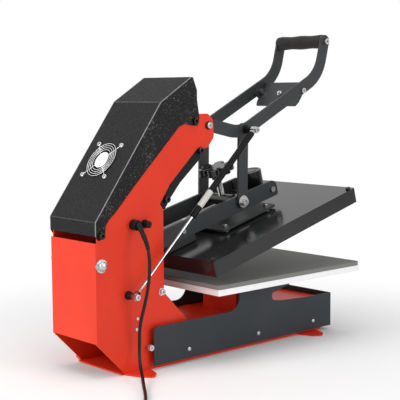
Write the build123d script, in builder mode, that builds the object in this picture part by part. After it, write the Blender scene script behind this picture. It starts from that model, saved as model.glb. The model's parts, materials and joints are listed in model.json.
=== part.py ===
from build123d import *
import os
from math import atan2, cos, degrees, hypot, pi, radians, sin, sqrt, tan

# Slide-out heat press with a toggle handle, a floating upper platen and a drawer that carries the lower one.
# X runs across the machine, -Y is the operator's side, Z is up. "Forward" is measured from the rear panel's
# outer face towards the operator, so forward = REAR_Y - y. Side outlines are written as (forward, up).
# The part stands in its open position, with the drawer closed.

# Red column, a pair of side plates with a rear panel between them
COLUMN_HALF = 84.0
PLATE = 4.0
COLUMN_INNER = COLUMN_HALF - PLATE
COLUMN_STEP = 5.0
REAR_PANEL_T = 3.0
REAR_PANEL_LOW = 81.0
REAR_PANEL_TOP = 302.0
FRONT_EDGE = 190.0
RAIL_TOP = 62.0
BASE_FRONT = 723.0
SIDE_OUTLINE = [
    (0, REAR_PANEL_TOP, 0), (0, REAR_PANEL_LOW, 2), (61, 19, 6), (78, 0, 0), (BASE_FRONT, 0, 4),
    (BASE_FRONT, RAIL_TOP, 6), (292, RAIL_TOP, 10), (208, 153, 20), (FRONT_EDGE, 172, 10),
    (FRONT_EDGE, 360, 4), (181, 374, 3), (211, 417, 20), (293.5, 493, 8), (326, 494, 12),
    (347, 519, 14), (344, 559, 12), (328, 573.5, 8), (289, 573.5, 0), (281, 625, 10), (276, 642, 4),
    (273, 651.5, 3), (187.5, 598.8, 6), (COLUMN_STEP, 348.2, 4), (COLUMN_STEP, REAR_PANEL_TOP, 0),
]
PAN_LOW, PAN_T, PAN_SETBACK = 2.0, 3.0, 2.0
PAN_REAR = 66.0
PAN_WALL_TOP = 56.0
COLUMN_FRONT_T = 3.0
COLUMN_FRONT_TOP = 228.0

# Foot lugs, flat tabs welded to the foot of each side plate
LUG_T = 4.0
LUG_REAR = [(COLUMN_HALF, 73, 0), (126, 91, 6), (147, 109, 9), (127, 130, 8), (COLUMN_HALF, 145, 0)]
LUG_FRONT = [(COLUMN_HALF, 635, 0), (128, 652, 8), (140, 670, 8), (124, 690, 10), (COLUMN_HALF, 701, 0)]
LUG_HOLE_X, LUG_HOLE_R = 122.0, 3.5
LUG_HOLES = (110.0, 671.0)

# Black rear cover, a bent sheet with cheeks outside the side plates
SHEET = 2.0
COVER_PROUD = 0.5
COVER_HALF = COLUMN_HALF + SHEET
COVER_HEM_R = 2.4
COVER_FOOT = 319.0
COVER_KNEE, COVER_RIDGE, COVER_CREST = (-COVER_PROUD, 348.0), (185.0, 602.0), (276.0, 658.0)
COVER_LIP = (281.0, 657.0)
COVER_BACK = [(-COVER_PROUD, COVER_FOOT), COVER_KNEE, COVER_RIDGE, COVER_CREST, COVER_LIP]
COVER_BENDS = [8, 16, 2]
CHEEK_OUTLINE = [
    (-COVER_PROUD, COVER_FOOT, 0), (*COVER_KNEE, 8), (*COVER_RIDGE, 16), (*COVER_CREST, 2), (*COVER_LIP, 2),
    (293, 628, 14), (293, 606, 10), (300, 566, 8), (297, 546, 8), (278, 547, 6), (256, 552, 12),
    (238, 545, 12), (108, 420, 20), (52, 363, 16), (36, 350, 8), (27, 338, 6), (25, 312, 8), (6, 307, 6),
]
SLOPE = degrees(atan2(COVER_RIDGE[1] - COVER_KNEE[1], COVER_RIDGE[0] - COVER_KNEE[0]))
COVER_EARS = [(14, 318), (286, 557)]
SCREW_R, SCREW_HEAD_R, SCREW_HEAD_H = 2.5, 6.5, 6.0
SOCKET_SHARE, SOCKET_DEPTH_SHARE = 0.5, 0.6
SMALL_HEAD_R, SMALL_HEAD_H, SMALL_WASHER_T = 3.5, 2.0, 1.2

# Black strip along the lower edge of the neck, a channel between the side plates
CHANNEL_HALF = COLUMN_INNER - 0.2
CHANNEL_PATH = [(199, 361), (214, 383), (244, 417), (306, 469)]
CHANNEL_OUTLINE = [
    (199, 361, 2), (214, 383, 4), (244, 417, 6), (306, 469, 3), (306, 497, 5), (286, 497, 8),
    (205, 420, 12), (178, 392, 4), (192, 361, 3),
]
CHANNEL_EARS = [(303, 489), (200, 383)]

# Fan behind the slope
FAN_SIZE = 92.0
FAN_UP_SLOPE = 153.6
FAN_X = 6.6
FAN_DEPTH = 25.0
FAN_BORE_R = 43.0
FAN_SCREWS = 82.5
FAN_HUB_R = 20.0
FAN_PIN_R = 3.0
FAN_BLADES = 7
GUARD_WIRE_R = 1.0
GUARD_LIFT = 4.0
GUARD_RINGS = (27.0, 32.0, 37.0, 42.0)
GUARD_HUB_R = 22.5
GUARD_SPOKE_IN, GUARD_SPOKE_DROP = 15.0, 1.6
GUARD_EAR_R, GUARD_EAR_BITE = 5.5, 1.5
GUARD_HUB_T, GUARD_HUB_DROP = 3.2, 2.6
GUARD_SCREW_R, GUARD_SCREW_H, GUARD_SCREW_IN = 4.0, 2.0, 8.0

# Control panel between the cheeks, facing the operator
PANEL_LOW = (296.2, 574.0)
PANEL_TOP = (282.0, 652.0)
PANEL_HALF = COLUMN_HALF - 0.1
BUTTON_R = 6.0
BUTTON_PROUD = 2.0
BUTTON_STEM = 7.0
BUTTON_TRAVEL = 1.5
BUTTONS_X = (14.0, 34.0, 54.0)
LENS = (60.0, 32.0, 1.2)
LENS_X = -30.0
HOUSING = (130.0, 62.0, 22.0)

# Running clearances
RUNNING = 0.05
FACE_GAP = 0.3

# Pivots, written as (forward, up) in the open position
ARM_PIVOT = (15.0, 252.0)
HEAD_PIVOT = (329.0, 546.0)
SHAFT = (452.0, 358.0)
HANDLE_LINK = (455.0, 533.0)
HANDLE_TRAVEL = 50.0
ARM_TILT = 14.46
PLATEN_TILT = 15.43

# Lifting arms, flat bars on one shaft
ARM_OUTER, ARM_T = 66.7, 8.0
ARM_INNER = ARM_OUTER - ARM_T
ARM_TOP, ARM_LOW = 9.2, -30.8
ARM_LENGTH = 578.0
ARM_HUB_R = 11.5
PIVOT_R = 7.0
PIVOT_WASHER_R, PIVOT_WASHER_T = 15.0, 2.0
PIVOT_NUT_R, PIVOT_NUT_H = 12.0, 8.0
PIVOT_DOME_R, PIVOT_DOME_H, PIVOT_DOME_TAPER = 10.0, 5.0, 24.0
ARM_BOLT_R = 4.0
ARM_BOLT_HEAD_R, ARM_BOLT_HEAD_H = 7.0, 5.5
CLAMP_HEAD_R, CLAMP_HEAD_H = 5.5, 3.0
CLAMP_SCREW = (255.0, -14.3)

# Electromagnet on a cross plate between the arms, in the arms' own frame (along, above the pivot line)
MAGNET_R, MAGNET_H = 29.0, 50.0
MAGNET_IN = 20.0
MAGNET_ALONG, MAGNET_FACE = ARM_LENGTH - MAGNET_IN, 34.0
MAGNET_PLATE_T = 5.0
MAGNET_PLATE_LENGTH = 44.0
MAGNET_FLANGE_T, MAGNET_FLANGE_IN, MAGNET_FLANGE_H, MAGNET_FLANGE_UP = 4.0, 16.0, 26.0, 8.0
MAGNET_BOLT = (MAGNET_ALONG + 1.4, -11.5)

# Handle plates, bent bars outside the links
HANDLE_OUTER, HANDLE_T = 79.7, 6.0
HANDLE_INNER = HANDLE_OUTER - HANDLE_T
HANDLE_PATH = [(329, 549), (441, 524), (720, 663.5), (742, 752)]
HANDLE_BENDS = [100, 95]
HANDLE_WIDTH = 31.0
HANDLE_HUB_R = 19.0
GRIP_AXIS = (741.0, 750.0)
GRIP_END_R = 17.0
GRIP_ROD_R = 8.0
GRIP_HEAD_R, GRIP_HEAD_H = 7.5, 9.0
GRIP_R, GRIP_WAIST_R, GRIP_MIDDLE_R, GRIP_END_SKIN_R = 18.0, 16.6, 17.6, 17.0
GRIP_HALF = HANDLE_INNER - 1.0
HEAD_SHAFT_R = 6.0

# Armature on the handle, which lands on the electromagnet
ARMATURE_R, ARMATURE_T = 30.0, 5.0
ARMATURE_ALONG = 27.0
ARMATURE_BOLT_END = 11.0
BRACKET_T = 3.0
BRACKET_REAR, BRACKET_FRONT = -8.0, 65.0
BRACKET_FLANGE = (14.0, 52.0, 24.0)
BRACKET_BOLT = (33.0, 16.0)
BRACKET_HEAD_H = 5.0

# Toggle links between the handle and the platen shaft
LINK_OUTER, LINK_T = 73.2, 6.0
LINK_INNER = LINK_OUTER - LINK_T
LINK_WIDTH = 31.0
LINK_PIN_R = 6.0
LINK_NUT_R, LINK_NUT_H = 10.0, 7.0
LINK_RIM_R, LINK_RIM_T, LINK_SPACER_R, LINK_SPACER_GAP = 10.0, 4.0, 8.0, 0.5

# Platen shaft, which turns in the arms and carries the platen on a screw
SHAFT_BAR_R, SHAFT_BAR_HALF = 14.0, 40.0
SHAFT_WASHER_R, SHAFT_WASHER_T = 15.0, 2.4
SHAFT_HEAD_R, SHAFT_HEAD_H = 9.5, 8.0
HEAD_BOLT_R, HEAD_BOLT_H = 9.5, 8.0
SPINDLE_R = 8.0
SHAFT_SETBACK = 236.2

# Lower platen on the drawer
LOWER_REAR, LOWER_FRONT = 255.0, 744.0
LOWER_HALF = 198.0
LOWER_BOTTOM, LOWER_T = 168.8, 13.8
PAD_T = 10.4
PAD_INSET = 0.5
PRESS_GAP = 0.2

# Upper platen, a heated plate under a black cover
UPPER_HALF, UPPER_LENGTH, UPPER_H = 200.0, 500.0, 37.0
UPPER_SKIN = 1.5
HEATER_T = 16.0
INSULATION_T = 12.0
CARRIER_LOW, CARRIER_T = 41.0, 5.0
CARRIER_HALF = 88.0
CARRIER_REAR, CARRIER_FRONT = 144.0, 329.0
STUD_X, STUD_R = 74.0, 4.0
STUD_SPAN = 72.2
NUT_R, NUT_H, STUD_END = 7.5, 6.5, 0.8
BOX_HALF, BOX_REAR, BOX_FRONT, BOX_TOP = 46.0, -6.0, 92.0, 58.0
COLLAR_R, COLLAR_H = 16.0, 12.0
CORNER_IN_X, CORNER_IN_REAR, CORNER_IN_FRONT = 10.0, 8.0, 14.0
CORNER_HEAD_R, CORNER_HEAD_H, CORNER_EDGE_R = 6.0, 5.0, 2.0

# Pressure knob on the screw
KNOB_LOW, KNOB_H = 154.0, 18.0
KNOB_HUB_R = 24.0
KNOB_LOBES, KNOB_LOBE_R, KNOB_LOBE_AT = 6, 13.0, 32.0
KNOB_WEB_R, KNOB_EDGE_R = 1.5, 3.0
KNOB_NECK, KNOB_NECK_R, KNOB_CAP = 14.0, 15.0, 6.0
SPINDLE_FOOT = CARRIER_LOW + CARRIER_T + FACE_GAP

# Gas spring on the near side
SPRING_FOOT = (87.0, 178.5)
SPRING_X = 109.0
SPRING_ROD_R, SPRING_TUBE_R, SPRING_TUBE_T = 3.0, 7.5, 1.2
SPRING_ROD_LENGTH = 254.0
SPRING_TUBE_START, SPRING_TUBE_END = 234.0, 500.0
SPRING_EYE_R, SPRING_EYE_T = 8.0, 9.6
SPRING_PIN_R = 4.0
SPRING_HEAD_R, SPRING_HEAD_H = 7.0, 7.0
SPRING_BOSS_R, SPRING_BOSS_TOP_R, SPRING_SIDE_GAP = 10.0, 6.5, 0.2
SPRING_NECK_H, SPRING_NECK_END, SPRING_PISTON_T = 10.0, 13.0, 6.0
SPRING_GUIDE = 8.0

# Drawer: slides, skirt, tray and pedestal
SLIDE_Z, SLIDE_H = 32.0, 45.0
SLIDE_DEPTH = 12.7
SLIDE_REAR, SLIDE_FRONT = 195.0, 705.0
SLIDE_SHEET, SLIDE_GAP = 1.2, 0.8
SKIRT_T = 2.0
SKIRT_INNER = COLUMN_HALF + SLIDE_DEPTH
SKIRT_OUTER = SKIRT_INNER + SKIRT_T
SKIRT_LOW = 10.5
SKIRT_REAR, SKIRT_FRONT = 147.4, 748.0
SKIRT_WALL_TOP = 97.6
SKIRT_OUTLINE = [
    (SKIRT_REAR, SKIRT_LOW, 2), (SKIRT_REAR, 99.5, 12), (415, 99.5, 34), (415, LOWER_BOTTOM, 0),
    (600, LOWER_BOTTOM, 0), (596, 141, 14), (524, 125, 9), (530, 108, 9), (560, 102.5, 20),
    (650, 98.5, 20), (SKIRT_FRONT, SKIRT_WALL_TOP, 2), (SKIRT_FRONT, SKIRT_LOW, 2),
]
SKIRT_SCREWS = (252.0, 479.0, 679.0)
SKIRT_SCREW_HEAD_R, SKIRT_SCREW_HEAD_H = 5.0, 3.0
TRAY_TOP, TRAY_T = 83.0, 3.0
TRAY_REAR = 300.0
PEDESTAL_HALF, PEDESTAL_REAR, PEDESTAL_FRONT = 60.0, 440.0, 560.0
DRAIN_R = 12.0
STOP_PIN = (140.0, 53.0)
STOP_R, STOP_CORE_R = 7.0, 5.0
STOP_LENGTH, STOP_HEAD_R, STOP_HEAD_H = 16.0, 6.5, 5.0

# Column fittings
COLUMN_BOLT = (183.0, 173.6)
COLUMN_BOLT_HEAD_R, COLUMN_BOLT_HEAD_H, COLUMN_WASHER_R = 6.5, 6.0, 9.0
SMALL_SCREWS = [(112.0, 122.0), (109.0, 98.6)]
GLAND = (104.0, 334.0)
GLAND_R, GLAND_LENGTH, GLAND_NECK_R = 12.0, 16.0, 6.5
GLAND_INSIDE, GLAND_NECK, GLAND_LIP = 8.0, 4.0, 1.0
FUSE = (135.0, 333.0)
FUSE_R, FUSE_RIM, FUSE_CAP_R, FUSE_CAP_H, FUSE_INSIDE = 10.0, 4.0, 8.0, 15.0, 14.0

# Power cord, written as (x, forward, up)
CORD_D = 7.5
CORD_ROUTE = [
    (-119, 104, 314), (-134, 104, 294), (-140, 104, 258), (-135, 106, 216), (-123, 104, 165),
    (-110, 98, 115), (-106.5, 99.5, 80), (-107.5, 98, 56), (-113, 94, 40), (-124, 87, 27),
    (-138.5, 78, 18), (-160, 64, 12.5), (-193, 40, 7.5), (-232, 13, 5), (-268, -15, 5),
    (-305, -46, 5), (-333, -75, 5), (-345, -97, 5),
]
COIL_MEAN_R = 45.0
COIL_QUARTERS = 17
COIL_PITCH = 8.3
COIL_LEAD = 22.5
TIE_WIDTH, TIE_T, TIE_CLEAR = 14.0, 1.0, 0.25
TIE_TURN = 135.0
PLUG_NECK = 22.0
PLUG = (27.0, 24.0, 30.0)
PIN_R, PIN_LENGTH = 2.4, 19.0

# The machine is centred on the origin between the cover's lip and the handle's end
REAR_Y = (GRIP_AXIS[0] + GRIP_END_R - COVER_PROUD) / 2


def swing(point, pivot, turn):
    """Turn a (forward, up) point nose-down about a pivot by an angle in degrees."""
    forward, up = point[0] - pivot[0], point[1] - pivot[1]
    c, s = cos(radians(turn)), sin(radians(turn))
    return pivot[0] + forward * c + up * s, pivot[1] - forward * s + up * c


def meet(centre_a, radius_a, centre_b, radius_b):
    """The lower point at which two circles in the side view cross."""
    df, du = centre_b[0] - centre_a[0], centre_b[1] - centre_a[1]
    apart = hypot(df, du)
    along = (apart**2 + radius_a**2 - radius_b**2) / (2 * apart)
    aside = sqrt(radius_a**2 - along**2)
    return (
        centre_a[0] + (along * df + aside * du) / apart,
        centre_a[1] + (along * du - aside * df) / apart,
    )


def away(point, tilt, along, above):
    """A point moved along and above a line that rises forwards at an angle in degrees."""
    c, s = cos(radians(tilt)), sin(radians(tilt))
    return point[0] + along * c - above * s, point[1] + along * s + above * c


def side(x, point=(0.0, 0.0), tilt=0.0):
    """Side-view plane at x: its x runs forwards along the tilt, its y upwards, extrusions go to -X."""
    c, s = cos(radians(tilt)), sin(radians(tilt))
    return Plane(origin=(x, REAR_Y - point[0], point[1]), x_dir=(0, -c, s), z_dir=(-1, 0, 0))


def deck(point, tilt=0.0, x=0.0):
    """Plane that faces upwards square to the tilt: its x is the machine's, its y runs rearwards."""
    c, s = cos(radians(tilt)), sin(radians(tilt))
    return Plane(origin=(x, REAR_Y - point[0], point[1]), x_dir=(1, 0, 0), z_dir=(0, s, c))


def facing(point, tilt=0.0, x=0.0):
    """Plane that faces forwards along the tilt: its x is the machine's."""
    c, s = cos(radians(tilt)), sin(radians(tilt))
    return Plane(origin=(x, REAR_Y - point[0], point[1]), x_dir=(1, 0, 0), z_dir=(0, -c, s))


def outline(corners):
    """Closed outline from (x, y, corner radius) triples."""
    return FilletPolyline(*[(x, y) for x, y, _ in corners], radius=[r for _, _, r in corners], close=True)


def slab(corners, x_high, thickness, holes=(), point=(0.0, 0.0), tilt=0.0):
    """Plate parallel to the side view, from x_high towards -X, with (x, y, radius) holes."""
    with BuildPart() as plate:
        with BuildSketch(side(x_high, point, tilt)):
            with BuildLine():
                outline(corners)
            make_face()
            for x, y, radius in holes:
                with Locations((x, y)):
                    Circle(radius, mode=Mode.SUBTRACT)
        extrude(amount=thickness)
    return plate


def rods(steps, point, x_start=0.0):
    """Pieces end to end along -X from x_start, as (radius, length); a minus radius makes a hexagon."""
    at = x_start
    for radius, length in steps:
        with BuildSketch(side(at, point)) as section:
            if radius > 0:
                Circle(radius)
            else:
                RegularPolygon(-radius, 6)
        extrude(section.sketch, amount=length)
        at -= length


def cord_point(place):
    """Point of the cord from (x, forward, up)."""
    return Vector(place[0], REAR_Y - place[1], place[2])


def save(piece, name):
    """Label a finished piece and write it."""
    piece.part.label = name
    export_step(piece.part, f"parts/{name}.step")


def head_socket(x_face, point, head_r, head_h):
    """Hexagonal socket sunk into a bolt head of that size whose face is at x_face on the near side."""
    with BuildSketch(side(x_face, point)) as socket:
        RegularPolygon(SOCKET_SHARE * head_r, 6)
    extrude(socket.sketch, amount=-SOCKET_DEPTH_SHARE * head_h, mode=Mode.SUBTRACT)


def screw(point, x_face, depth, head_r=SCREW_HEAD_R, head_h=SCREW_HEAD_H, washer_r=0.0):
    """Button-head screw on the near side, its head on x_face and its shank running inwards."""
    rods([(SCREW_R, depth)], point, x_face + depth)
    start = x_face
    if washer_r:
        rods([(washer_r, SMALL_WASHER_T)], point, start)
        start -= SMALL_WASHER_T
    rods([(head_r, head_h)], point, start)
    head_socket(start - head_h, point, head_r, head_h)


os.makedirs("parts", exist_ok=True)

# Linkage: where the arms, the links and the platen come to rest when the handle is down
ARM_LENGTH_TO_SHAFT = hypot(SHAFT[0] - ARM_PIVOT[0], SHAFT[1] - ARM_PIVOT[1])
LINK_LENGTH = hypot(HANDLE_LINK[0] - SHAFT[0], HANDLE_LINK[1] - SHAFT[1])
LINK_CLOSED = swing(HANDLE_LINK, HEAD_PIVOT, HANDLE_TRAVEL)
SHAFT_CLOSED = meet(ARM_PIVOT, ARM_LENGTH_TO_SHAFT, LINK_CLOSED, LINK_LENGTH)
ARM_TRAVEL = degrees(
    atan2(SHAFT[1] - ARM_PIVOT[1], SHAFT[0] - ARM_PIVOT[0])
    - atan2(SHAFT_CLOSED[1] - ARM_PIVOT[1], SHAFT_CLOSED[0] - ARM_PIVOT[0])
)
LINK_TURN = degrees(
    atan2(HANDLE_LINK[1] - SHAFT[1], HANDLE_LINK[0] - SHAFT[0])
    - atan2(LINK_CLOSED[1] - SHAFT_CLOSED[1], LINK_CLOSED[0] - SHAFT_CLOSED[0])
)
PAD_TOP = LOWER_BOTTOM + LOWER_T + PAD_T
SHAFT_HEIGHT = SHAFT_CLOSED[1] - PAD_TOP - PRESS_GAP
PLATEN_CORNER = away(SHAFT, PLATEN_TILT, -SHAFT_SETBACK, -SHAFT_HEIGHT)
SPRING_TOP = HANDLE_LINK
SPRING_TILT = degrees(atan2(SPRING_TOP[1] - SPRING_FOOT[1], SPRING_TOP[0] - SPRING_FOOT[0]))
SPRING_LENGTH = hypot(SPRING_TOP[1] - SPRING_FOOT[1], SPRING_TOP[0] - SPRING_FOOT[0])
SPRING_SHUT = hypot(LINK_CLOSED[1] - SPRING_FOOT[1], LINK_CLOSED[0] - SPRING_FOOT[0])
SPRING_SHUT_TILT = degrees(atan2(LINK_CLOSED[1] - SPRING_FOOT[1], LINK_CLOSED[0] - SPRING_FOOT[0]))
MAGNET_CLOSED = swing(away(ARM_PIVOT, ARM_TILT, MAGNET_ALONG, MAGNET_FACE), ARM_PIVOT, ARM_TRAVEL)
ARMATURE_TILT = ARM_TILT - ARM_TRAVEL + HANDLE_TRAVEL
ARMATURE_AT = swing(MAGNET_CLOSED, HEAD_PIVOT, -HANDLE_TRAVEL)
BRACKET_BOLT_AT = away(ARMATURE_AT, ARMATURE_TILT, *BRACKET_BOLT)
print("arm travel", round(ARM_TRAVEL, 4), "platen float", round(PLATEN_TILT - ARM_TRAVEL, 4))
print("link turn against the arms", round(LINK_TURN - ARM_TRAVEL, 4))
print("gas spring turn", round(SPRING_TILT - SPRING_SHUT_TILT, 4))
print("gas spring stroke", round(SPRING_LENGTH - SPRING_SHUT, 3))
print("shaft height", round(SHAFT_HEIGHT, 3), "platen corner", PLATEN_CORNER, "closed shaft", SHAFT_CLOSED)

# Side plates: column, neck and base rail in one sheet
COMMON_HOLES = [
    (*ARM_PIVOT, PIVOT_R), (*HEAD_PIVOT, HEAD_SHAFT_R), (*STOP_PIN, STOP_CORE_R),
    (*COLUMN_BOLT, SCREW_R),
    *[(*ear, SCREW_R) for ear in COVER_EARS + CHANNEL_EARS],
    *[(*spot, SCREW_R) for spot in SMALL_SCREWS],
]
NEAR_HOLES = [(*SPRING_FOOT, SPRING_PIN_R), (*GLAND, GLAND_NECK_R), (*FUSE, GLAND_NECK_R)]
side_plate_near = slab(SIDE_OUTLINE, -COLUMN_INNER, PLATE, COMMON_HOLES + NEAR_HOLES)
save(side_plate_near, "side_plate_near")
side_plate_far = slab(SIDE_OUTLINE, COLUMN_HALF, PLATE, COMMON_HOLES)
save(side_plate_far, "side_plate_far")

with BuildPart() as rear_panel:
    with BuildSketch(facing((0, 0))):
        with Locations((0, (REAR_PANEL_LOW + REAR_PANEL_TOP) / 2)):
            Rectangle(2 * COLUMN_INNER, REAR_PANEL_TOP - REAR_PANEL_LOW)
    extrude(amount=REAR_PANEL_T)
save(rear_panel, "rear_panel")

# Base pan with a front wall between the rails, and the wall that closes the column's front
PAN_FRONT = BASE_FRONT - PAN_SETBACK
with BuildPart() as base_pan:
    with BuildSketch(side(COLUMN_INNER)):
        with BuildLine():
            Polyline(
                (PAN_REAR, PAN_LOW), (PAN_FRONT, PAN_LOW), (PAN_FRONT, PAN_WALL_TOP),
                (PAN_FRONT - PAN_T, PAN_WALL_TOP), (PAN_FRONT - PAN_T, PAN_LOW + PAN_T),
                (PAN_REAR, PAN_LOW + PAN_T), close=True,
            )
        make_face()
    extrude(amount=2 * COLUMN_INNER)
    with BuildSketch(facing((FRONT_EDGE - COLUMN_FRONT_T, 0))):
        with Locations((0, (PAN_LOW + PAN_T + COLUMN_FRONT_TOP) / 2)):
            Rectangle(2 * COLUMN_INNER, COLUMN_FRONT_TOP - PAN_LOW - PAN_T)
    extrude(amount=COLUMN_FRONT_T)
save(base_pan, "base_pan")

# Foot plates, two on each side
with BuildPart() as foot_plates:
    for corners, hole in ((LUG_REAR, LUG_HOLES[0]), (LUG_FRONT, LUG_HOLES[1])):
        with BuildSketch(Plane.XY):
            with BuildLine():
                outline([(x, REAR_Y - forward, r) for x, forward, r in corners])
            make_face()
            with Locations((LUG_HOLE_X, REAR_Y - hole)):
                Circle(LUG_HOLE_R, mode=Mode.SUBTRACT)
            mirror(about=Plane.YZ)
        extrude(amount=LUG_T)
save(foot_plates, "foot_plates")

# Rear cover: a bent strip with a rolled hem, a cheek on each side and the fan's opening
FAN_AT = away(COVER_KNEE, SLOPE, FAN_UP_SLOPE, 0)
with BuildPart() as rear_cover:
    with BuildSketch(side(COVER_HALF)):
        with BuildLine() as back:
            FilletPolyline(*COVER_BACK, radius=COVER_BENDS)
            offset(amount=SHEET, side=Side.RIGHT)
        make_face()
    extrude(amount=2 * COVER_HALF)
    with BuildSketch(side(COLUMN_INNER - FACE_GAP)):
        with Locations((COVER_HEM_R - COVER_PROUD, COVER_BACK[0][1])):
            Circle(COVER_HEM_R)
    extrude(amount=2 * (COLUMN_INNER - FACE_GAP))
    for x_high in (COVER_HALF, -COLUMN_HALF):
        with BuildSketch(side(x_high)):
            with BuildLine():
                outline(CHEEK_OUTLINE)
            make_face()
            with Locations(*COVER_EARS):
                Circle(SCREW_R, mode=Mode.SUBTRACT)
        extrude(amount=SHEET)
    with BuildSketch(deck(FAN_AT, SLOPE, FAN_X)):
        Circle(FAN_BORE_R)
        with GridLocations(FAN_SCREWS, FAN_SCREWS, 2, 2):
            Circle(SCREW_R)
    extrude(amount=-3 * SHEET, mode=Mode.SUBTRACT)
save(rear_cover, "rear_cover")

# Channel along the neck's lower edge
with BuildPart() as front_cover:
    with BuildSketch(side(CHANNEL_HALF)):
        with BuildLine():
            FilletPolyline(*CHANNEL_PATH, radius=[4, 6])
            offset(amount=SHEET, side=Side.LEFT)
        make_face()
    extrude(amount=2 * CHANNEL_HALF)
    for x_high in (CHANNEL_HALF, -CHANNEL_HALF + SHEET):
        with BuildSketch(side(x_high)):
            with BuildLine():
                outline(CHANNEL_OUTLINE)
            make_face()
            with Locations(*CHANNEL_EARS):
                Circle(SCREW_R, mode=Mode.SUBTRACT)
        extrude(amount=SHEET)
save(front_cover, "front_cover")

# Fan: frame, rotor and wire guard
FAN_DECK = deck(FAN_AT, SLOPE, FAN_X)
with BuildPart() as fan_frame:
    with BuildSketch(FAN_DECK.offset(-SHEET)):
        RectangleRounded(FAN_SIZE, FAN_SIZE, 4)
        Circle(FAN_BORE_R, mode=Mode.SUBTRACT)
        with GridLocations(FAN_SCREWS, FAN_SCREWS, 2, 2):
            Circle(SCREW_R, mode=Mode.SUBTRACT)
    extrude(amount=-FAN_DEPTH)
    with BuildSketch(FAN_DECK.offset(-SHEET - FAN_DEPTH)):
        Circle(FAN_HUB_R)
        with PolarLocations(FAN_BORE_R / 2, 4, 45):
            Rectangle(FAN_BORE_R + 1, 5)
    extrude(amount=3)
    with BuildSketch(FAN_DECK.offset(-SHEET - FAN_DEPTH + 3)):
        Circle(FAN_PIN_R)
    extrude(amount=FAN_DEPTH - 8)
save(fan_frame, "fan_frame")

with BuildPart() as fan_rotor:
    with BuildSketch(FAN_DECK.offset(-SHEET - FAN_DEPTH + 3 + FACE_GAP)):
        Circle(FAN_HUB_R)
    extrude(amount=FAN_DEPTH - 5)
    with BuildSketch(FAN_DECK.offset(-SHEET - FAN_DEPTH + 3)):
        Circle(FAN_PIN_R + RUNNING)
    extrude(amount=FAN_DEPTH - 8 + FACE_GAP, mode=Mode.SUBTRACT)
    for blade in range(FAN_BLADES):
        turn = Rot(0, 0, 360 * blade / FAN_BLADES)
        root = Plane(FAN_DECK.offset(-SHEET - FAN_DEPTH / 2 + 1).location * turn)
        with BuildSketch(Plane(root.location * Pos(FAN_HUB_R - 2, 0, 0) * Rot(0, 90, 0) * Rot(0, 0, 38))):
            RectangleRounded(2, 22, 0.9)
        extrude(amount=FAN_BORE_R - FAN_HUB_R)
save(fan_rotor, "fan_rotor")

with BuildPart() as fan_guard:
    for ring in GUARD_RINGS:
        with BuildSketch(Plane(FAN_DECK.offset(GUARD_LIFT).location * Rot(90, 0, 0))):
            with Locations((ring, 0)):
                Circle(GUARD_WIRE_R)
        revolve(axis=Axis(FAN_DECK.origin, FAN_DECK.z_dir))
    for spoke in range(4):
        turned = FAN_DECK.offset(GUARD_LIFT - GUARD_SPOKE_DROP).location * Rot(0, 0, 45 + 90 * spoke)
        with BuildSketch(Plane(turned * Pos(GUARD_SPOKE_IN, 0, 0) * Rot(0, 90, 0))):
            Circle(GUARD_WIRE_R)
        extrude(amount=FAN_SCREWS / sqrt(2) - GUARD_SPOKE_IN - GUARD_EAR_R + GUARD_EAR_BITE)
    with BuildSketch(FAN_DECK.offset(GUARD_LIFT - GUARD_HUB_DROP)):
        Circle(GUARD_HUB_R)
    extrude(amount=GUARD_HUB_T)
    with BuildSketch(FAN_DECK):
        with GridLocations(FAN_SCREWS, FAN_SCREWS, 2, 2):
            Circle(GUARD_EAR_R)
            Circle(SCREW_R, mode=Mode.SUBTRACT)
    extrude(amount=GUARD_LIFT)
save(fan_guard, "fan_guard")

# Control panel, its housing, lens and buttons
PANEL_TILT = degrees(atan2(PANEL_LOW[0] - PANEL_TOP[0], PANEL_TOP[1] - PANEL_LOW[1]))
PANEL_HEIGHT = hypot(PANEL_LOW[0] - PANEL_TOP[0], PANEL_TOP[1] - PANEL_LOW[1])
PANEL_MID = ((PANEL_LOW[0] + PANEL_TOP[0]) / 2, (PANEL_LOW[1] + PANEL_TOP[1]) / 2)
PANEL = facing(PANEL_MID, PANEL_TILT)
with BuildPart() as control_panel:
    with BuildSketch(PANEL):
        Rectangle(2 * PANEL_HALF, PANEL_HEIGHT)
        with Locations(*[(x, 0) for x in BUTTONS_X]):
            Circle(BUTTON_R, mode=Mode.SUBTRACT)
    extrude(amount=-SHEET)
save(control_panel, "control_panel")

with BuildPart() as controller_housing:
    with BuildSketch(PANEL.offset(-SHEET)):
        RectangleRounded(HOUSING[0], HOUSING[1], 4)
    extrude(amount=-HOUSING[2])
    with BuildSketch(PANEL.offset(-SHEET)):
        with Locations(*[(x, 0) for x in BUTTONS_X]):
            Circle(BUTTON_R)
    extrude(amount=-BUTTON_STEM - BUTTON_TRAVEL - FACE_GAP, mode=Mode.SUBTRACT)
save(controller_housing, "controller_housing")

with BuildPart() as display_lens:
    with BuildSketch(PANEL):
        with Locations((LENS_X, 0)):
            RectangleRounded(LENS[0], LENS[1], 2)
    extrude(amount=LENS[2])
save(display_lens, "display_lens")

for name, x in zip(("button_down", "button_set", "button_up"), BUTTONS_X):
    with BuildPart() as button:
        with BuildSketch(PANEL.offset(BUTTON_PROUD)):
            with Locations((x, 0)):
                Circle(BUTTON_R - RUNNING)
        extrude(amount=-BUTTON_PROUD - SHEET - BUTTON_STEM)
    save(button, name)

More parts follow.
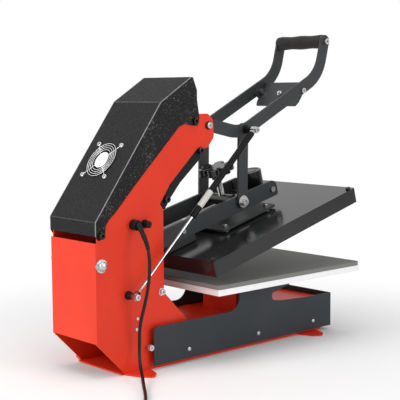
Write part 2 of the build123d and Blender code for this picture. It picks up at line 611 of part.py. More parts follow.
# Cable gland and fuse holder on the near plate
with BuildPart() as cable_gland:
    rods([(GLAND_NECK_R, PLATE + GLAND_INSIDE)], GLAND, -COLUMN_INNER + GLAND_INSIDE)
    rods([(GLAND_R, GLAND_LENGTH)], GLAND, -COLUMN_HALF)
    chamfer(edges().filter_by(GeomType.CIRCLE).sort_by(Axis.X)[0], 1.5)
    rods([(GLAND_NECK_R, GLAND_NECK)], GLAND, -COLUMN_HALF - GLAND_LENGTH)
    elbow = Vector(-COLUMN_HALF - GLAND_LENGTH - GLAND_NECK, REAR_Y - GLAND[0], GLAND[1])
    mouth = cord_point(CORD_ROUTE[0])
    with Locations(elbow):
        Sphere(GLAND_NECK_R)
    for centre, radius in ((elbow, GLAND_NECK_R), (mouth, CORD_D / 2 + GLAND_LIP)):
        with BuildSketch(Plane(origin=centre, z_dir=mouth - elbow)):
            Circle(radius)
    loft()
save(cable_gland, "cable_gland")

with BuildPart() as fuse_holder:
    rods([(GLAND_NECK_R, PLATE + FUSE_INSIDE)], FUSE, -COLUMN_INNER + FUSE_INSIDE)
    rods([(FUSE_R, FUSE_RIM), (FUSE_CAP_R, FUSE_CAP_H)], FUSE, -COLUMN_HALF)
    chamfer(edges().filter_by(GeomType.CIRCLE).sort_by(Axis.X)[0], 2)
save(fuse_holder, "fuse_holder")

# Shaft of the arms with a washer and a domed nut on each end
with BuildPart() as arm_pivot_shaft:
    rods([(PIVOT_R, COLUMN_HALF)], ARM_PIVOT, 0)
    rods([(PIVOT_WASHER_R, PIVOT_WASHER_T), (-PIVOT_NUT_R, PIVOT_NUT_H)], ARM_PIVOT, -COLUMN_HALF)
    with BuildSketch(side(-COLUMN_HALF - PIVOT_WASHER_T - PIVOT_NUT_H, ARM_PIVOT)):
        Circle(PIVOT_DOME_R)
    extrude(amount=PIVOT_DOME_H, taper=PIVOT_DOME_TAPER)
    mirror(about=Plane.YZ)
save(arm_pivot_shaft, "arm_pivot_shaft")

# Shaft of the handle, a bolt head on each side of the neck
with BuildPart() as head_pivot_shaft:
    head = (HEAD_BOLT_R, HEAD_BOLT_H)
    rods([head, (HEAD_SHAFT_R, 2 * COLUMN_HALF), head], HEAD_PIVOT, COLUMN_HALF + HEAD_BOLT_H)
    head_socket(-COLUMN_HALF - HEAD_BOLT_H, HEAD_PIVOT, *head)
save(head_pivot_shaft, "head_pivot_shaft")

# Screws of the cover, the channel and the column, with washers where they show
with BuildPart() as housing_screws:
    for ear in COVER_EARS:
        screw(ear, -COVER_HALF, SHEET + PLATE)
    for ear in CHANNEL_EARS:
        screw(ear, -COLUMN_HALF, COLUMN_HALF - CHANNEL_HALF + SHEET)
    for spot in SMALL_SCREWS:
        screw(spot, -COLUMN_HALF, PLATE, SMALL_HEAD_R, SMALL_HEAD_H)
    screw(COLUMN_BOLT, -COLUMN_HALF, PLATE, COLUMN_BOLT_HEAD_R, COLUMN_BOLT_HEAD_H, COLUMN_WASHER_R)
    mirror(about=Plane.YZ)
    heads = (GUARD_SCREW_R, GUARD_LIFT, GUARD_LIFT + GUARD_SCREW_H)
    for radius, low, high in (heads, (SCREW_R, -SHEET - GUARD_SCREW_IN, GUARD_LIFT)):
        with BuildSketch(FAN_DECK.offset(low)):
            with GridLocations(FAN_SCREWS, FAN_SCREWS, 2, 2):
                Circle(radius)
        extrude(amount=high - low)
save(housing_screws, "housing_screws")

# Stops of the drawer, a sleeve on a bolt on each side
with BuildPart() as stop_pins:
    rods([(STOP_CORE_R, PLATE)], STOP_PIN, -COLUMN_INNER)
    rods([(STOP_R, STOP_LENGTH - STOP_HEAD_H), (STOP_HEAD_R, STOP_HEAD_H)], STOP_PIN, -COLUMN_HALF)
    head_socket(-COLUMN_HALF - STOP_LENGTH, STOP_PIN, STOP_HEAD_R, STOP_HEAD_H)
    mirror(about=Plane.YZ)
save(stop_pins, "stop_pins")

# Lower stud of the gas spring
SPRING_EYE_HIGH = -SPRING_X + SPRING_EYE_T / 2
BOSS_FACE = SPRING_EYE_HIGH + SPRING_SIDE_GAP
STUD_REACH = SPRING_EYE_T + 2 * SPRING_SIDE_GAP
with BuildPart() as spring_stud:
    rods([(SPRING_PIN_R, PLATE)], SPRING_FOOT, -COLUMN_INNER)
    with BuildSketch(side(-COLUMN_HALF, SPRING_FOOT)):
        Circle(SPRING_BOSS_R)
    with BuildSketch(side(BOSS_FACE, SPRING_FOOT)):
        Circle(SPRING_BOSS_TOP_R)
    loft()
    rods([(SPRING_PIN_R, STUD_REACH), (SPRING_HEAD_R, SPRING_HEAD_H)], SPRING_FOOT, BOSS_FACE)
    head_socket(BOSS_FACE - STUD_REACH - SPRING_HEAD_H, SPRING_FOOT, SPRING_HEAD_R, SPRING_HEAD_H)
save(spring_stud, "spring_stud")

# Gas spring: the rod turns on the lower stud, the cylinder slides on the rod
with BuildPart() as spring_rod:
    with BuildSketch(side(SPRING_EYE_HIGH, SPRING_FOOT, SPRING_TILT)):
        Circle(SPRING_EYE_R)
        with Locations((SPRING_NECK_END / 2, 0)):
            Rectangle(SPRING_NECK_END, SPRING_NECK_H)
        Circle(SPRING_PIN_R + RUNNING, mode=Mode.SUBTRACT)
    extrude(amount=SPRING_EYE_T)
    ROD_FOOT = away(SPRING_FOOT, SPRING_TILT, SPRING_NECK_END, 0)
    with BuildSketch(facing(ROD_FOOT, SPRING_TILT, -SPRING_X)):
        Circle(SPRING_ROD_R)
    extrude(amount=SPRING_ROD_LENGTH - SPRING_NECK_END)
    PISTON_AT = away(SPRING_FOOT, SPRING_TILT, SPRING_ROD_LENGTH - SPRING_PISTON_T, 0)
    with BuildSketch(facing(PISTON_AT, SPRING_TILT, -SPRING_X)):
        Circle(SPRING_TUBE_R - SPRING_TUBE_T - RUNNING)
    extrude(amount=SPRING_PISTON_T)
save(spring_rod, "spring_rod")

with BuildPart() as spring_cylinder:
    TUBE_FOOT = away(SPRING_FOOT, SPRING_TILT, SPRING_TUBE_START, 0)
    BORE_FOOT = away(SPRING_FOOT, SPRING_TILT, SPRING_TUBE_START + SPRING_GUIDE, 0)
    with BuildSketch(facing(TUBE_FOOT, SPRING_TILT, -SPRING_X)):
        Circle(SPRING_TUBE_R)
    extrude(amount=SPRING_TUBE_END - SPRING_TUBE_START)
    chamfer(edges().filter_by(GeomType.CIRCLE), SPRING_TUBE_T)
    with BuildSketch(facing(TUBE_FOOT, SPRING_TILT, -SPRING_X)):
        Circle(SPRING_ROD_R + RUNNING)
    extrude(amount=SPRING_GUIDE, mode=Mode.SUBTRACT)
    with BuildSketch(facing(BORE_FOOT, SPRING_TILT, -SPRING_X)):
        Circle(SPRING_TUBE_R - SPRING_TUBE_T)
    extrude(amount=SPRING_TUBE_END - SPRING_TUBE_START - 2 * SPRING_GUIDE, mode=Mode.SUBTRACT)
    with BuildSketch(side(SPRING_EYE_HIGH, SPRING_TOP, SPRING_TILT)):
        Circle(SPRING_EYE_R)
        with Locations((-(SPRING_LENGTH - SPRING_TUBE_END) / 2, 0)):
            Rectangle(SPRING_LENGTH - SPRING_TUBE_END, SPRING_NECK_H)
    extrude(amount=SPRING_EYE_T)
    rods([(SPRING_HEAD_R, SPRING_HEAD_H)], SPRING_TOP, SPRING_EYE_HIGH - SPRING_EYE_T)
    head_socket(SPRING_EYE_HIGH - SPRING_EYE_T - SPRING_HEAD_H, SPRING_TOP, SPRING_HEAD_R, SPRING_HEAD_H)
save(spring_cylinder, "spring_cylinder")

# Lifting arms
SHAFT_IN_ARM = (
    (SHAFT[0] - ARM_PIVOT[0]) * cos(radians(ARM_TILT)) + (SHAFT[1] - ARM_PIVOT[1]) * sin(radians(ARM_TILT)),
    -(SHAFT[0] - ARM_PIVOT[0]) * sin(radians(ARM_TILT)) + (SHAFT[1] - ARM_PIVOT[1]) * cos(radians(ARM_TILT)),
)
ARM_OUTLINE = [
    (0, ARM_TOP + 2.3, 0), (24, ARM_TOP, 30), (ARM_LENGTH, ARM_TOP, 16), (ARM_LENGTH, ARM_LOW, 6),
    (62, ARM_LOW, 24), (3, -ARM_HUB_R + 0.4, 0),
]
for name, x_high in (("arm_near", -ARM_INNER), ("arm_far", ARM_OUTER)):
    with BuildPart() as arm:
        with BuildSketch(side(x_high, ARM_PIVOT, ARM_TILT)):
            with BuildLine():
                outline(ARM_OUTLINE)
            make_face()
            Circle(ARM_HUB_R)
            Circle(PIVOT_R + RUNNING, mode=Mode.SUBTRACT)
            with Locations(SHAFT_IN_ARM):
                Circle(PIVOT_R + RUNNING, mode=Mode.SUBTRACT)
            with Locations(MAGNET_BOLT, CLAMP_SCREW):
                Circle(ARM_BOLT_R, mode=Mode.SUBTRACT)
        extrude(amount=ARM_T)
    save(arm, name)

# Cross plate with end flanges, and the electromagnet on it
MAGNET_BASE = MAGNET_FACE - MAGNET_H
with BuildPart() as magnet_plate:
    with BuildSketch(deck(away(ARM_PIVOT, ARM_TILT, MAGNET_ALONG, MAGNET_BASE), ARM_TILT)):
        Rectangle(2 * ARM_INNER, MAGNET_PLATE_LENGTH)
    extrude(amount=-MAGNET_PLATE_T)
    for x_high in (ARM_INNER, -ARM_INNER + MAGNET_FLANGE_T):
        with BuildSketch(side(x_high, away(ARM_PIVOT, ARM_TILT, MAGNET_ALONG, MAGNET_BASE), ARM_TILT)):
            with Locations((0, MAGNET_FLANGE_UP)):
                RectangleRounded(MAGNET_PLATE_LENGTH - MAGNET_FLANGE_IN, MAGNET_FLANGE_H, 4)
            with Locations((MAGNET_BOLT[0] - MAGNET_ALONG, MAGNET_BOLT[1] - MAGNET_BASE)):
                Circle(ARM_BOLT_R, mode=Mode.SUBTRACT)
        extrude(amount=MAGNET_FLANGE_T)
save(magnet_plate, "magnet_plate")

with BuildPart() as electromagnet:
    with BuildSketch(deck(away(ARM_PIVOT, ARM_TILT, MAGNET_ALONG, MAGNET_BASE), ARM_TILT)):
        Circle(MAGNET_R)
    extrude(amount=MAGNET_H)
    chamfer(edges().group_by(Axis.Z)[-1], 1.5)
    with BuildSketch(deck(away(ARM_PIVOT, ARM_TILT, MAGNET_ALONG, MAGNET_FACE), ARM_TILT)):
        Circle(MAGNET_R - 8)
        Circle(MAGNET_R - 13, mode=Mode.SUBTRACT)
    extrude(amount=-0.8, mode=Mode.SUBTRACT)
save(electromagnet, "electromagnet")

with BuildPart() as arm_bolts:
    MAGNET_BOLT_AT = away(ARM_PIVOT, ARM_TILT, *MAGNET_BOLT)
    CLAMP_AT = away(ARM_PIVOT, ARM_TILT, *CLAMP_SCREW)
    shank = (ARM_BOLT_R, ARM_T + MAGNET_FLANGE_T)
    rods([shank, (ARM_BOLT_HEAD_R, ARM_BOLT_HEAD_H)], MAGNET_BOLT_AT, -ARM_INNER + MAGNET_FLANGE_T)
    head_socket(-ARM_OUTER - ARM_BOLT_HEAD_H, MAGNET_BOLT_AT, ARM_BOLT_HEAD_R, ARM_BOLT_HEAD_H)
    rods([(ARM_BOLT_R, ARM_T), (CLAMP_HEAD_R, CLAMP_HEAD_H)], CLAMP_AT, -ARM_INNER)
    head_socket(-ARM_OUTER - CLAMP_HEAD_H, CLAMP_AT, CLAMP_HEAD_R, CLAMP_HEAD_H)
    mirror(about=Plane.YZ)
save(arm_bolts, "arm_bolts")

# Handle plates
for name, x_high in (("handle_near", -HANDLE_INNER), ("handle_far", HANDLE_OUTER)):
    with BuildPart() as handle_plate:
        with BuildSketch(side(x_high)):
            with BuildLine():
                FilletPolyline(*HANDLE_PATH, radius=HANDLE_BENDS)
            trace(line_width=HANDLE_WIDTH)
            with Locations(HEAD_PIVOT):
                Circle(HANDLE_HUB_R)
            with Locations(GRIP_AXIS):
                Circle(GRIP_END_R)
            with Locations(HEAD_PIVOT):
                Circle(HEAD_SHAFT_R + RUNNING, mode=Mode.SUBTRACT)
            with Locations(HANDLE_LINK):
                Circle(LINK_PIN_R, mode=Mode.SUBTRACT)
            with Locations(GRIP_AXIS, BRACKET_BOLT_AT):
                Circle(ARM_BOLT_R, mode=Mode.SUBTRACT)
        extrude(amount=HANDLE_T)
    save(handle_plate, name)

with BuildPart() as grip_rod:
    rods([(GRIP_ROD_R, 2 * HANDLE_INNER)], GRIP_AXIS, HANDLE_INNER)
    end_head = (GRIP_HEAD_R, GRIP_HEAD_H)
    rods([end_head, (ARM_BOLT_R, HANDLE_T)], GRIP_AXIS, HANDLE_OUTER + GRIP_HEAD_H)
    rods([(ARM_BOLT_R, HANDLE_T), end_head], GRIP_AXIS, -HANDLE_INNER)
    head_socket(-HANDLE_OUTER - GRIP_HEAD_H, GRIP_AXIS, *end_head)
save(grip_rod, "grip_rod")

with BuildPart() as grip:
    with BuildSketch(facing(GRIP_AXIS)):
        ends = [(-GRIP_HALF, GRIP_END_SKIN_R), (GRIP_HALF, GRIP_END_SKIN_R)]
        with BuildLine():
            Polyline(ends[0], (-GRIP_HALF, GRIP_ROD_R), (GRIP_HALF, GRIP_ROD_R), ends[1])
            Spline(
                ends[1], (0.86 * GRIP_HALF, GRIP_R), (0.45 * GRIP_HALF, GRIP_WAIST_R), (0, GRIP_MIDDLE_R),
                (-0.45 * GRIP_HALF, GRIP_WAIST_R), (-0.86 * GRIP_HALF, GRIP_R), ends[0],
            )
        make_face()
    revolve(axis=Axis((0, REAR_Y - GRIP_AXIS[0], GRIP_AXIS[1]), (1, 0, 0)))
save(grip, "grip")

# Armature bracket: a cross plate with chamfered lower corners and a flange along each handle plate.
# The bolts that carry the links are with the bracket's; the near one is also the gas spring's upper stud.
BRACKET_UNDER = FACE_GAP + ARMATURE_T
with BuildPart() as armature_bracket:
    with BuildSketch(deck(away(ARMATURE_AT, ARMATURE_TILT, 0, BRACKET_UNDER), ARMATURE_TILT)):
        with BuildLine():
            outline([
                (-HANDLE_INNER, -BRACKET_FRONT, 0), (HANDLE_INNER, -BRACKET_FRONT, 0),
                (HANDLE_INNER, -BRACKET_REAR - 12, 0), (HANDLE_INNER - 5, -BRACKET_REAR, 2),
                (-HANDLE_INNER + 5, -BRACKET_REAR, 2), (-HANDLE_INNER, -BRACKET_REAR - 12, 0),
            ])
        make_face()
        with Locations((0, -ARMATURE_ALONG)):
            Circle(ARM_BOLT_R, mode=Mode.SUBTRACT)
    extrude(amount=BRACKET_T)
    for x_high in (HANDLE_INNER, -HANDLE_INNER + BRACKET_T):
        with BuildSketch(side(x_high, away(ARMATURE_AT, ARMATURE_TILT, 0, BRACKET_UNDER), ARMATURE_TILT)):
            with Locations(((BRACKET_FLANGE[0] + BRACKET_FLANGE[1]) / 2, BRACKET_FLANGE[2] / 2)):
                RectangleRounded(BRACKET_FLANGE[1] - BRACKET_FLANGE[0], BRACKET_FLANGE[2], 1.4)
            with Locations((BRACKET_BOLT[0], BRACKET_BOLT[1] - BRACKET_UNDER)):
                Circle(ARM_BOLT_R, mode=Mode.SUBTRACT)
        extrude(amount=BRACKET_T)
save(armature_bracket, "armature_bracket")

with BuildPart() as armature:
    with BuildSketch(deck(away(ARMATURE_AT, ARMATURE_TILT, ARMATURE_ALONG, FACE_GAP), ARMATURE_TILT)):
        Circle(ARMATURE_R)
        Circle(ARM_BOLT_R, mode=Mode.SUBTRACT)
    extrude(amount=ARMATURE_T)
save(armature, "armature")

with BuildPart() as handle_bolts:
    with BuildSketch(deck(away(ARMATURE_AT, ARMATURE_TILT, ARMATURE_ALONG, FACE_GAP), ARMATURE_TILT)):
        Circle(ARM_BOLT_R)
    extrude(amount=ARMATURE_T + BRACKET_T + ARMATURE_BOLT_END)
    NUT_SEAT = away(ARMATURE_AT, ARMATURE_TILT, ARMATURE_ALONG, BRACKET_UNDER + BRACKET_T)
    with BuildSketch(deck(NUT_SEAT, ARMATURE_TILT)):
        RegularPolygon(NUT_R, 6)
    extrude(amount=NUT_H)
    for sense in (-1, 1):
        inner = sense * HANDLE_INNER
        with BuildSketch(side(inner - sense * BRACKET_T, BRACKET_BOLT_AT)):
            Circle(ARM_BOLT_R)
        extrude(amount=-sense * (BRACKET_T + HANDLE_T))
        with BuildSketch(side(sense * HANDLE_OUTER, BRACKET_BOLT_AT)):
            Circle(ARM_BOLT_HEAD_R)
        extrude(amount=-sense * BRACKET_HEAD_H)
        with BuildSketch(side(inner - sense * BRACKET_T, BRACKET_BOLT_AT)):
            RegularPolygon(NUT_R, 6)
        extrude(amount=sense * NUT_H)
    head_socket(-HANDLE_OUTER - BRACKET_HEAD_H, BRACKET_BOLT_AT, ARM_BOLT_HEAD_R, BRACKET_HEAD_H)
    rods([(LINK_PIN_R, HANDLE_T)], HANDLE_LINK, -HANDLE_INNER)
    spacer = SPRING_X - SPRING_EYE_T / 2 - LINK_SPACER_GAP - HANDLE_OUTER - LINK_RIM_T
    rods([(LINK_RIM_R, LINK_RIM_T), (LINK_SPACER_R, spacer)], HANDLE_LINK, -HANDLE_OUTER)
    rods([(LINK_SPACER_R, LINK_PIN_R), (LINK_PIN_R, HANDLE_T)], HANDLE_LINK, HANDLE_OUTER + LINK_PIN_R)
save(handle_bolts, "handle_bolts")

# Toggle links, hinged on the platen shaft; their upper eyes and nuts lie inside the handle plates
LINK_LEAN = degrees(atan2(HANDLE_LINK[1] - SHAFT[1], HANDLE_LINK[0] - SHAFT[0]))
with BuildPart() as links:
    with BuildSketch(side(-LINK_INNER, SHAFT, LINK_LEAN)):
        with Locations((LINK_LENGTH / 2, 0)):
            SlotCenterToCenter(LINK_LENGTH, LINK_WIDTH)
        Circle(PIVOT_R + RUNNING, mode=Mode.SUBTRACT)
    extrude(amount=LINK_T)
    rods([(-LINK_NUT_R, LINK_NUT_H)], HANDLE_LINK, -LINK_INNER + LINK_NUT_H)
    mirror(about=Plane.YZ)
save(links, "links")

# Platen shaft: a bar between the arms, journals through arms and links, a washer and a head on each end
with BuildPart() as platen_shaft:
    head_start = LINK_OUTER + FACE_GAP
    reach = head_start + SHAFT_WASHER_T
    rods([(PIVOT_R, 2 * reach)], SHAFT, reach)
    rods([(SHAFT_BAR_R, 2 * SHAFT_BAR_HALF)], SHAFT, SHAFT_BAR_HALF)
    for start in (-head_start, reach):
        rods([(SHAFT_WASHER_R, SHAFT_WASHER_T)], SHAFT, start)
    rods([(SHAFT_HEAD_R, SHAFT_HEAD_H)], SHAFT, -reach)
    rods([(-SHAFT_HEAD_R, SHAFT_HEAD_H)], SHAFT, reach + SHAFT_HEAD_H)
    head_socket(-reach - SHAFT_HEAD_H, SHAFT, SHAFT_HEAD_R, SHAFT_HEAD_H)
    with BuildSketch(deck(SHAFT, PLATEN_TILT).offset(-SHAFT_BAR_R - 1)):
        Circle(SPINDLE_R + RUNNING)
    extrude(amount=2 * SHAFT_BAR_R + 2, mode=Mode.SUBTRACT)
save(platen_shaft, "platen_shaft")


def platen_deck(height):
    """Plane in the upper platen's own frame, at a height above its working face; y is 0 at the rear edge."""
    return deck(PLATEN_CORNER, PLATEN_TILT).offset(height)


def spindle_deck(height):
    """The same plane with its origin on the pressure screw's axis."""
    return deck(away(PLATEN_CORNER, PLATEN_TILT, SHAFT_SETBACK, 0), PLATEN_TILT).offset(height)


UPPER_MID = -UPPER_LENGTH / 2
with BuildPart() as platen_cover:
    with BuildSketch(platen_deck(0)):
        with Locations((0, UPPER_MID)):
            RectangleRounded(2 * UPPER_HALF, UPPER_LENGTH, 3)
    extrude(amount=UPPER_H)
    with BuildSketch(platen_deck(0)):
        with Locations((0, UPPER_MID)):
            RectangleRounded(2 * (UPPER_HALF - UPPER_SKIN), UPPER_LENGTH - 2 * UPPER_SKIN, 2)
    extrude(amount=UPPER_H - UPPER_SKIN, mode=Mode.SUBTRACT)
    with BuildSketch(spindle_deck(UPPER_H)):
        with GridLocations(2 * STUD_X, 2 * STUD_SPAN, 2, 2):
            Circle(STUD_R)
    extrude(amount=-UPPER_SKIN, mode=Mode.SUBTRACT)
save(platen_cover, "platen_cover")

with BuildPart() as heat_platen:
    with BuildSketch(platen_deck(0)):
        with Locations((0, UPPER_MID)):
            RectangleRounded(2 * (UPPER_HALF - UPPER_SKIN), UPPER_LENGTH - 2 * UPPER_SKIN, 2)
    extrude(amount=HEATER_T)
save(heat_platen, "heat_platen")

with BuildPart() as platen_insulation:
    with BuildSketch(platen_deck(HEATER_T)):
        with Locations((0, UPPER_MID)):
            Rectangle(2 * (UPPER_HALF - UPPER_SKIN) - 6, UPPER_LENGTH - 2 * UPPER_SKIN - 6)
        with Locations((0, -SHAFT_SETBACK)):
            with GridLocations(2 * STUD_X, 2 * STUD_SPAN, 2, 2):
                Circle(STUD_R, mode=Mode.SUBTRACT)
    extrude(amount=INSULATION_T)
save(platen_insulation, "platen_insulation")

# Carrier plate, with the swivel collar that holds the screw's foot
with BuildPart() as carrier_plate:
    with BuildSketch(platen_deck(CARRIER_LOW)):
        with Locations((0, -(CARRIER_REAR + CARRIER_FRONT) / 2)):
            RectangleRounded(2 * CARRIER_HALF, CARRIER_FRONT - CARRIER_REAR, 8)
        with Locations((0, -SHAFT_SETBACK)):
            with GridLocations(2 * STUD_X, 2 * STUD_SPAN, 2, 2):
                Circle(STUD_R, mode=Mode.SUBTRACT)
    extrude(amount=CARRIER_T)
    with BuildSketch(spindle_deck(CARRIER_LOW + CARRIER_T)):
        Circle(COLLAR_R)
        Circle(SPINDLE_R + RUNNING, mode=Mode.SUBTRACT)
    extrude(amount=COLLAR_H)
save(carrier_plate, "carrier_plate")

STUD_TOP = CARRIER_LOW + CARRIER_T + NUT_H + STUD_END
with BuildPart() as platen_studs:
    for low, high, radius in (
        (HEATER_T, STUD_TOP, STUD_R), (UPPER_H, CARRIER_LOW, -NUT_R),
        (CARRIER_LOW + CARRIER_T, STUD_TOP - STUD_END, -NUT_R),
    ):
        with BuildSketch(spindle_deck(low)):
            with GridLocations(2 * STUD_X, 2 * STUD_SPAN, 2, 2):
                if radius > 0:
                    Circle(radius)
                else:
                    RegularPolygon(-radius, 6)
        extrude(amount=high - low)
save(platen_studs, "platen_studs")

with BuildPart() as terminal_box:
    with BuildSketch(platen_deck(UPPER_H)):
        with Locations((0, -(BOX_REAR + BOX_FRONT) / 2 - 3)):
            RectangleRounded(2 * BOX_HALF, BOX_FRONT - BOX_REAR - 6, 4)
    extrude(amount=BOX_TOP - UPPER_H)
    fillet(faces().sort_by(Axis.Z)[-1].edges().filter_by(Axis.X), 3)
save(terminal_box, "terminal_box")

with BuildPart() as platen_screws:
    with BuildSketch(platen_deck(UPPER_H)):
        for along in (CORNER_IN_REAR, UPPER_LENGTH - CORNER_IN_FRONT):
            with Locations((UPPER_HALF - CORNER_IN_X, -along), (CORNER_IN_X - UPPER_HALF, -along)):
                Circle(CORNER_HEAD_R)
    extrude(amount=CORNER_HEAD_H)
    fillet(faces().sort_by(Axis.Z)[-1].edges(), CORNER_EDGE_R)
save(platen_screws, "platen_screws")

# Pressure screw and its lobed knob
with BuildPart() as spindle:
    with BuildSketch(spindle_deck(SPINDLE_FOOT)):
        Circle(SPINDLE_R)
    extrude(amount=KNOB_LOW + KNOB_H - KNOB_CAP - SPINDLE_FOOT)
save(spindle, "spindle")

with BuildPart() as pressure_knob:
    with BuildSketch(spindle_deck(KNOB_LOW)):
        Circle(KNOB_HUB_R)
        with PolarLocations(KNOB_LOBE_AT, KNOB_LOBES):
            Circle(KNOB_LOBE_R)
        webs = vertices().filter_by(lambda corner: abs(hypot(corner.X, corner.Y) - KNOB_HUB_R) < 0.01)
        fillet(webs, KNOB_WEB_R)
    extrude(amount=KNOB_H)
    fillet(faces().sort_by(Axis.Z)[-1].edges(), KNOB_EDGE_R)
    with BuildSketch(spindle_deck(KNOB_LOW - KNOB_NECK)):
        Circle(KNOB_NECK_R)
    extrude(amount=KNOB_NECK)
    with BuildSketch(spindle_deck(KNOB_LOW - KNOB_NECK)):
        Circle(SPINDLE_R)
    extrude(amount=KNOB_NECK + KNOB_H - KNOB_CAP, mode=Mode.SUBTRACT)
save(pressure_knob, "pressure_knob")

# Drawer slides: three nested channels on each side, outer one on the rail, inner one on the skirt
def slide_channels(web, lip, half_height):
    """Channel on each side of the machine, with its web at |x| = web and its lips reaching |x| = lip."""
    low, high = min(web, lip), max(web, lip)
    hollow_low = low + SLIDE_SHEET if web < lip else low
    hollow_high = high if web < lip else high - SLIDE_SHEET
    with BuildPart() as channels:
        with BuildSketch(facing((SLIDE_REAR, SLIDE_Z))):
            with Locations((-(low + high) / 2, 0)):
                Rectangle(high - low, 2 * half_height)
            with Locations((-(hollow_low + hollow_high) / 2, 0)):
                Rectangle(hollow_high - hollow_low, 2 * (half_height - SLIDE_SHEET), mode=Mode.SUBTRACT)
        extrude(amount=SLIDE_FRONT - SLIDE_REAR)
        mirror(about=Plane.YZ)
    return channels


SLIDE_NEST = SLIDE_SHEET + SLIDE_GAP
slide_outer_rails = slide_channels(COLUMN_HALF, SKIRT_INNER - SLIDE_NEST - SLIDE_GAP, SLIDE_H / 2)
save(slide_outer_rails, "slide_outer_rails")
MIDDLE_HALF_H = SLIDE_H / 2 - SLIDE_NEST
slide_middle_members = slide_channels(COLUMN_HALF + SLIDE_NEST, SKIRT_INNER - SLIDE_NEST, MIDDLE_HALF_H)
save(slide_middle_members, "slide_middle_members")
slide_inner_members = slide_channels(SKIRT_INNER, COLUMN_HALF + 2 * SLIDE_NEST, SLIDE_H / 2 - 2 * SLIDE_NEST)
save(slide_inner_members, "slide_inner_members")

# Skirt of the drawer: two notched sides and a front wall, bent from one sheet
with BuildPart() as skirt:
    for x_high in (SKIRT_OUTER, -SKIRT_INNER):
        with BuildSketch(side(x_high)):
            with BuildLine():
                outline(SKIRT_OUTLINE)
            make_face()
            with Locations(*[(forward, SLIDE_Z) for forward in SKIRT_SCREWS]):
                Circle(SCREW_R, mode=Mode.SUBTRACT)
        extrude(amount=SKIRT_T)
    with BuildSketch(facing((SKIRT_FRONT - SKIRT_T, 0))):
        with Locations((0, (SKIRT_LOW + SKIRT_WALL_TOP) / 2)):
            Rectangle(2 * SKIRT_OUTER, SKIRT_WALL_TOP - SKIRT_LOW)
    extrude(amount=SKIRT_T)
save(skirt, "skirt")

# Drawer tray with a hollow pedestal under the lower platen
with BuildPart() as carriage_frame:
    with BuildSketch(deck((0, TRAY_TOP))):
        with Locations((0, -(PEDESTAL_REAR + PEDESTAL_FRONT) / 2)):
            Rectangle(2 * PEDESTAL_HALF, PEDESTAL_FRONT - PEDESTAL_REAR)
    extrude(amount=LOWER_BOTTOM - TRAY_TOP)
    offset(amount=-TRAY_T, openings=faces().sort_by(Axis.Z)[0])
    with BuildSketch(deck((0, TRAY_TOP - TRAY_T))):
        with Locations((0, -(TRAY_REAR + SKIRT_FRONT - SKIRT_T) / 2)):
            Rectangle(2 * SKIRT_INNER, SKIRT_FRONT - SKIRT_T - TRAY_REAR)
        with Locations((0, -(PEDESTAL_REAR + PEDESTAL_FRONT) / 2)):
            Circle(DRAIN_R, mode=Mode.SUBTRACT)
    extrude(amount=TRAY_T)
save(carriage_frame, "carriage_frame")

with BuildPart() as skirt_screws:
    for forward in SKIRT_SCREWS:
        spot = (forward, SLIDE_Z)
        rods([(SCREW_R, SKIRT_T), (SKIRT_SCREW_HEAD_R, SKIRT_SCREW_HEAD_H)], spot, -SKIRT_INNER)
        head_socket(-SKIRT_OUTER - SKIRT_SCREW_HEAD_H, spot, SKIRT_SCREW_HEAD_R, SKIRT_SCREW_HEAD_H)
    mirror(about=Plane.YZ)
save(skirt_screws, "skirt_screws")

with BuildPart() as lower_platen:
    with BuildSketch(deck((0, LOWER_BOTTOM))):
        with Locations((0, -(LOWER_REAR + LOWER_FRONT) / 2)):
            RectangleRounded(2 * LOWER_HALF, LOWER_FRONT - LOWER_REAR, 3)
    extrude(amount=LOWER_T)
save(lower_platen, "lower_platen")

with BuildPart() as silicone_pad:
    with BuildSketch(deck((0, LOWER_BOTTOM + LOWER_T))):
        with Locations((0, -(LOWER_REAR + LOWER_FRONT) / 2)):
            RectangleRounded(2 * (LOWER_HALF - PAD_INSET), LOWER_FRONT - LOWER_REAR - 2 * PAD_INSET, 8)
    extrude(amount=PAD_T)
save(silicone_pad, "silicone_pad")

# Power cord down to the floor and out to the coil
route = [cord_point(place) for place in CORD_ROUTE]
runs = [b - a for a, b in zip(route, route[1:])]
radii = [0.45 * min(a.length, b.length) / tan(radians(a.get_angle(b)) / 2) for a, b in zip(runs, runs[1:])]
print("cord radii", [round(r, 1) for r in radii])
with BuildPart() as power_cord:
    with BuildLine() as cord_line:
        FilletPolyline(*route, radius=radii)
    with BuildSketch(Plane(origin=route[0], z_dir=runs[0])):
        Circle(CORD_D / 2)
    sweep(path=cord_line.wire())
cord_length = cord_line.wire().length
print("cord length", round(cord_length, 1))
print("cord volume share", round(power_cord.part.volume / (cord_length * pi * CORD_D**2 / 4), 4))
save(power_cord, "power_cord")

# Coil: its turns spiral in on the floor, climb a layer at half way and spiral out again on top
COIL_TURNS = COIL_QUARTERS / 4
COIL_OUTER_R = COIL_MEAN_R + COIL_PITCH * COIL_TURNS / 4
COIL_SLANT = degrees(atan2(COIL_PITCH, 2 * pi * COIL_OUTER_R))
coil_heading = runs[-1].normalized()
coil_start = route[-1] + coil_heading * CORD_D
coil_outward = coil_heading.rotate(Axis.Z, 90 + COIL_SLANT)
coil_centre = coil_start - coil_outward * COIL_OUTER_R


def coil_point(turns):
    """Point of the cord's centre line after a number of clockwise turns."""
    past = turns - COIL_TURNS / 2
    radius = COIL_OUTER_R - COIL_PITCH * (COIL_TURNS / 2 - abs(past))
    share = min(max(2 * past + 0.5, 0), 1)
    lift = Vector(0, 0, COIL_PITCH * share**2 * (3 - 2 * share))
    return coil_centre + coil_outward.rotate(Axis.Z, -360 * turns) * radius + lift


def coil_tangent(turns):
    """Direction of the cord's centre line after a number of clockwise turns."""
    step = 1e-4
    return (coil_point(turns + step) - coil_point(turns - step)).normalized()


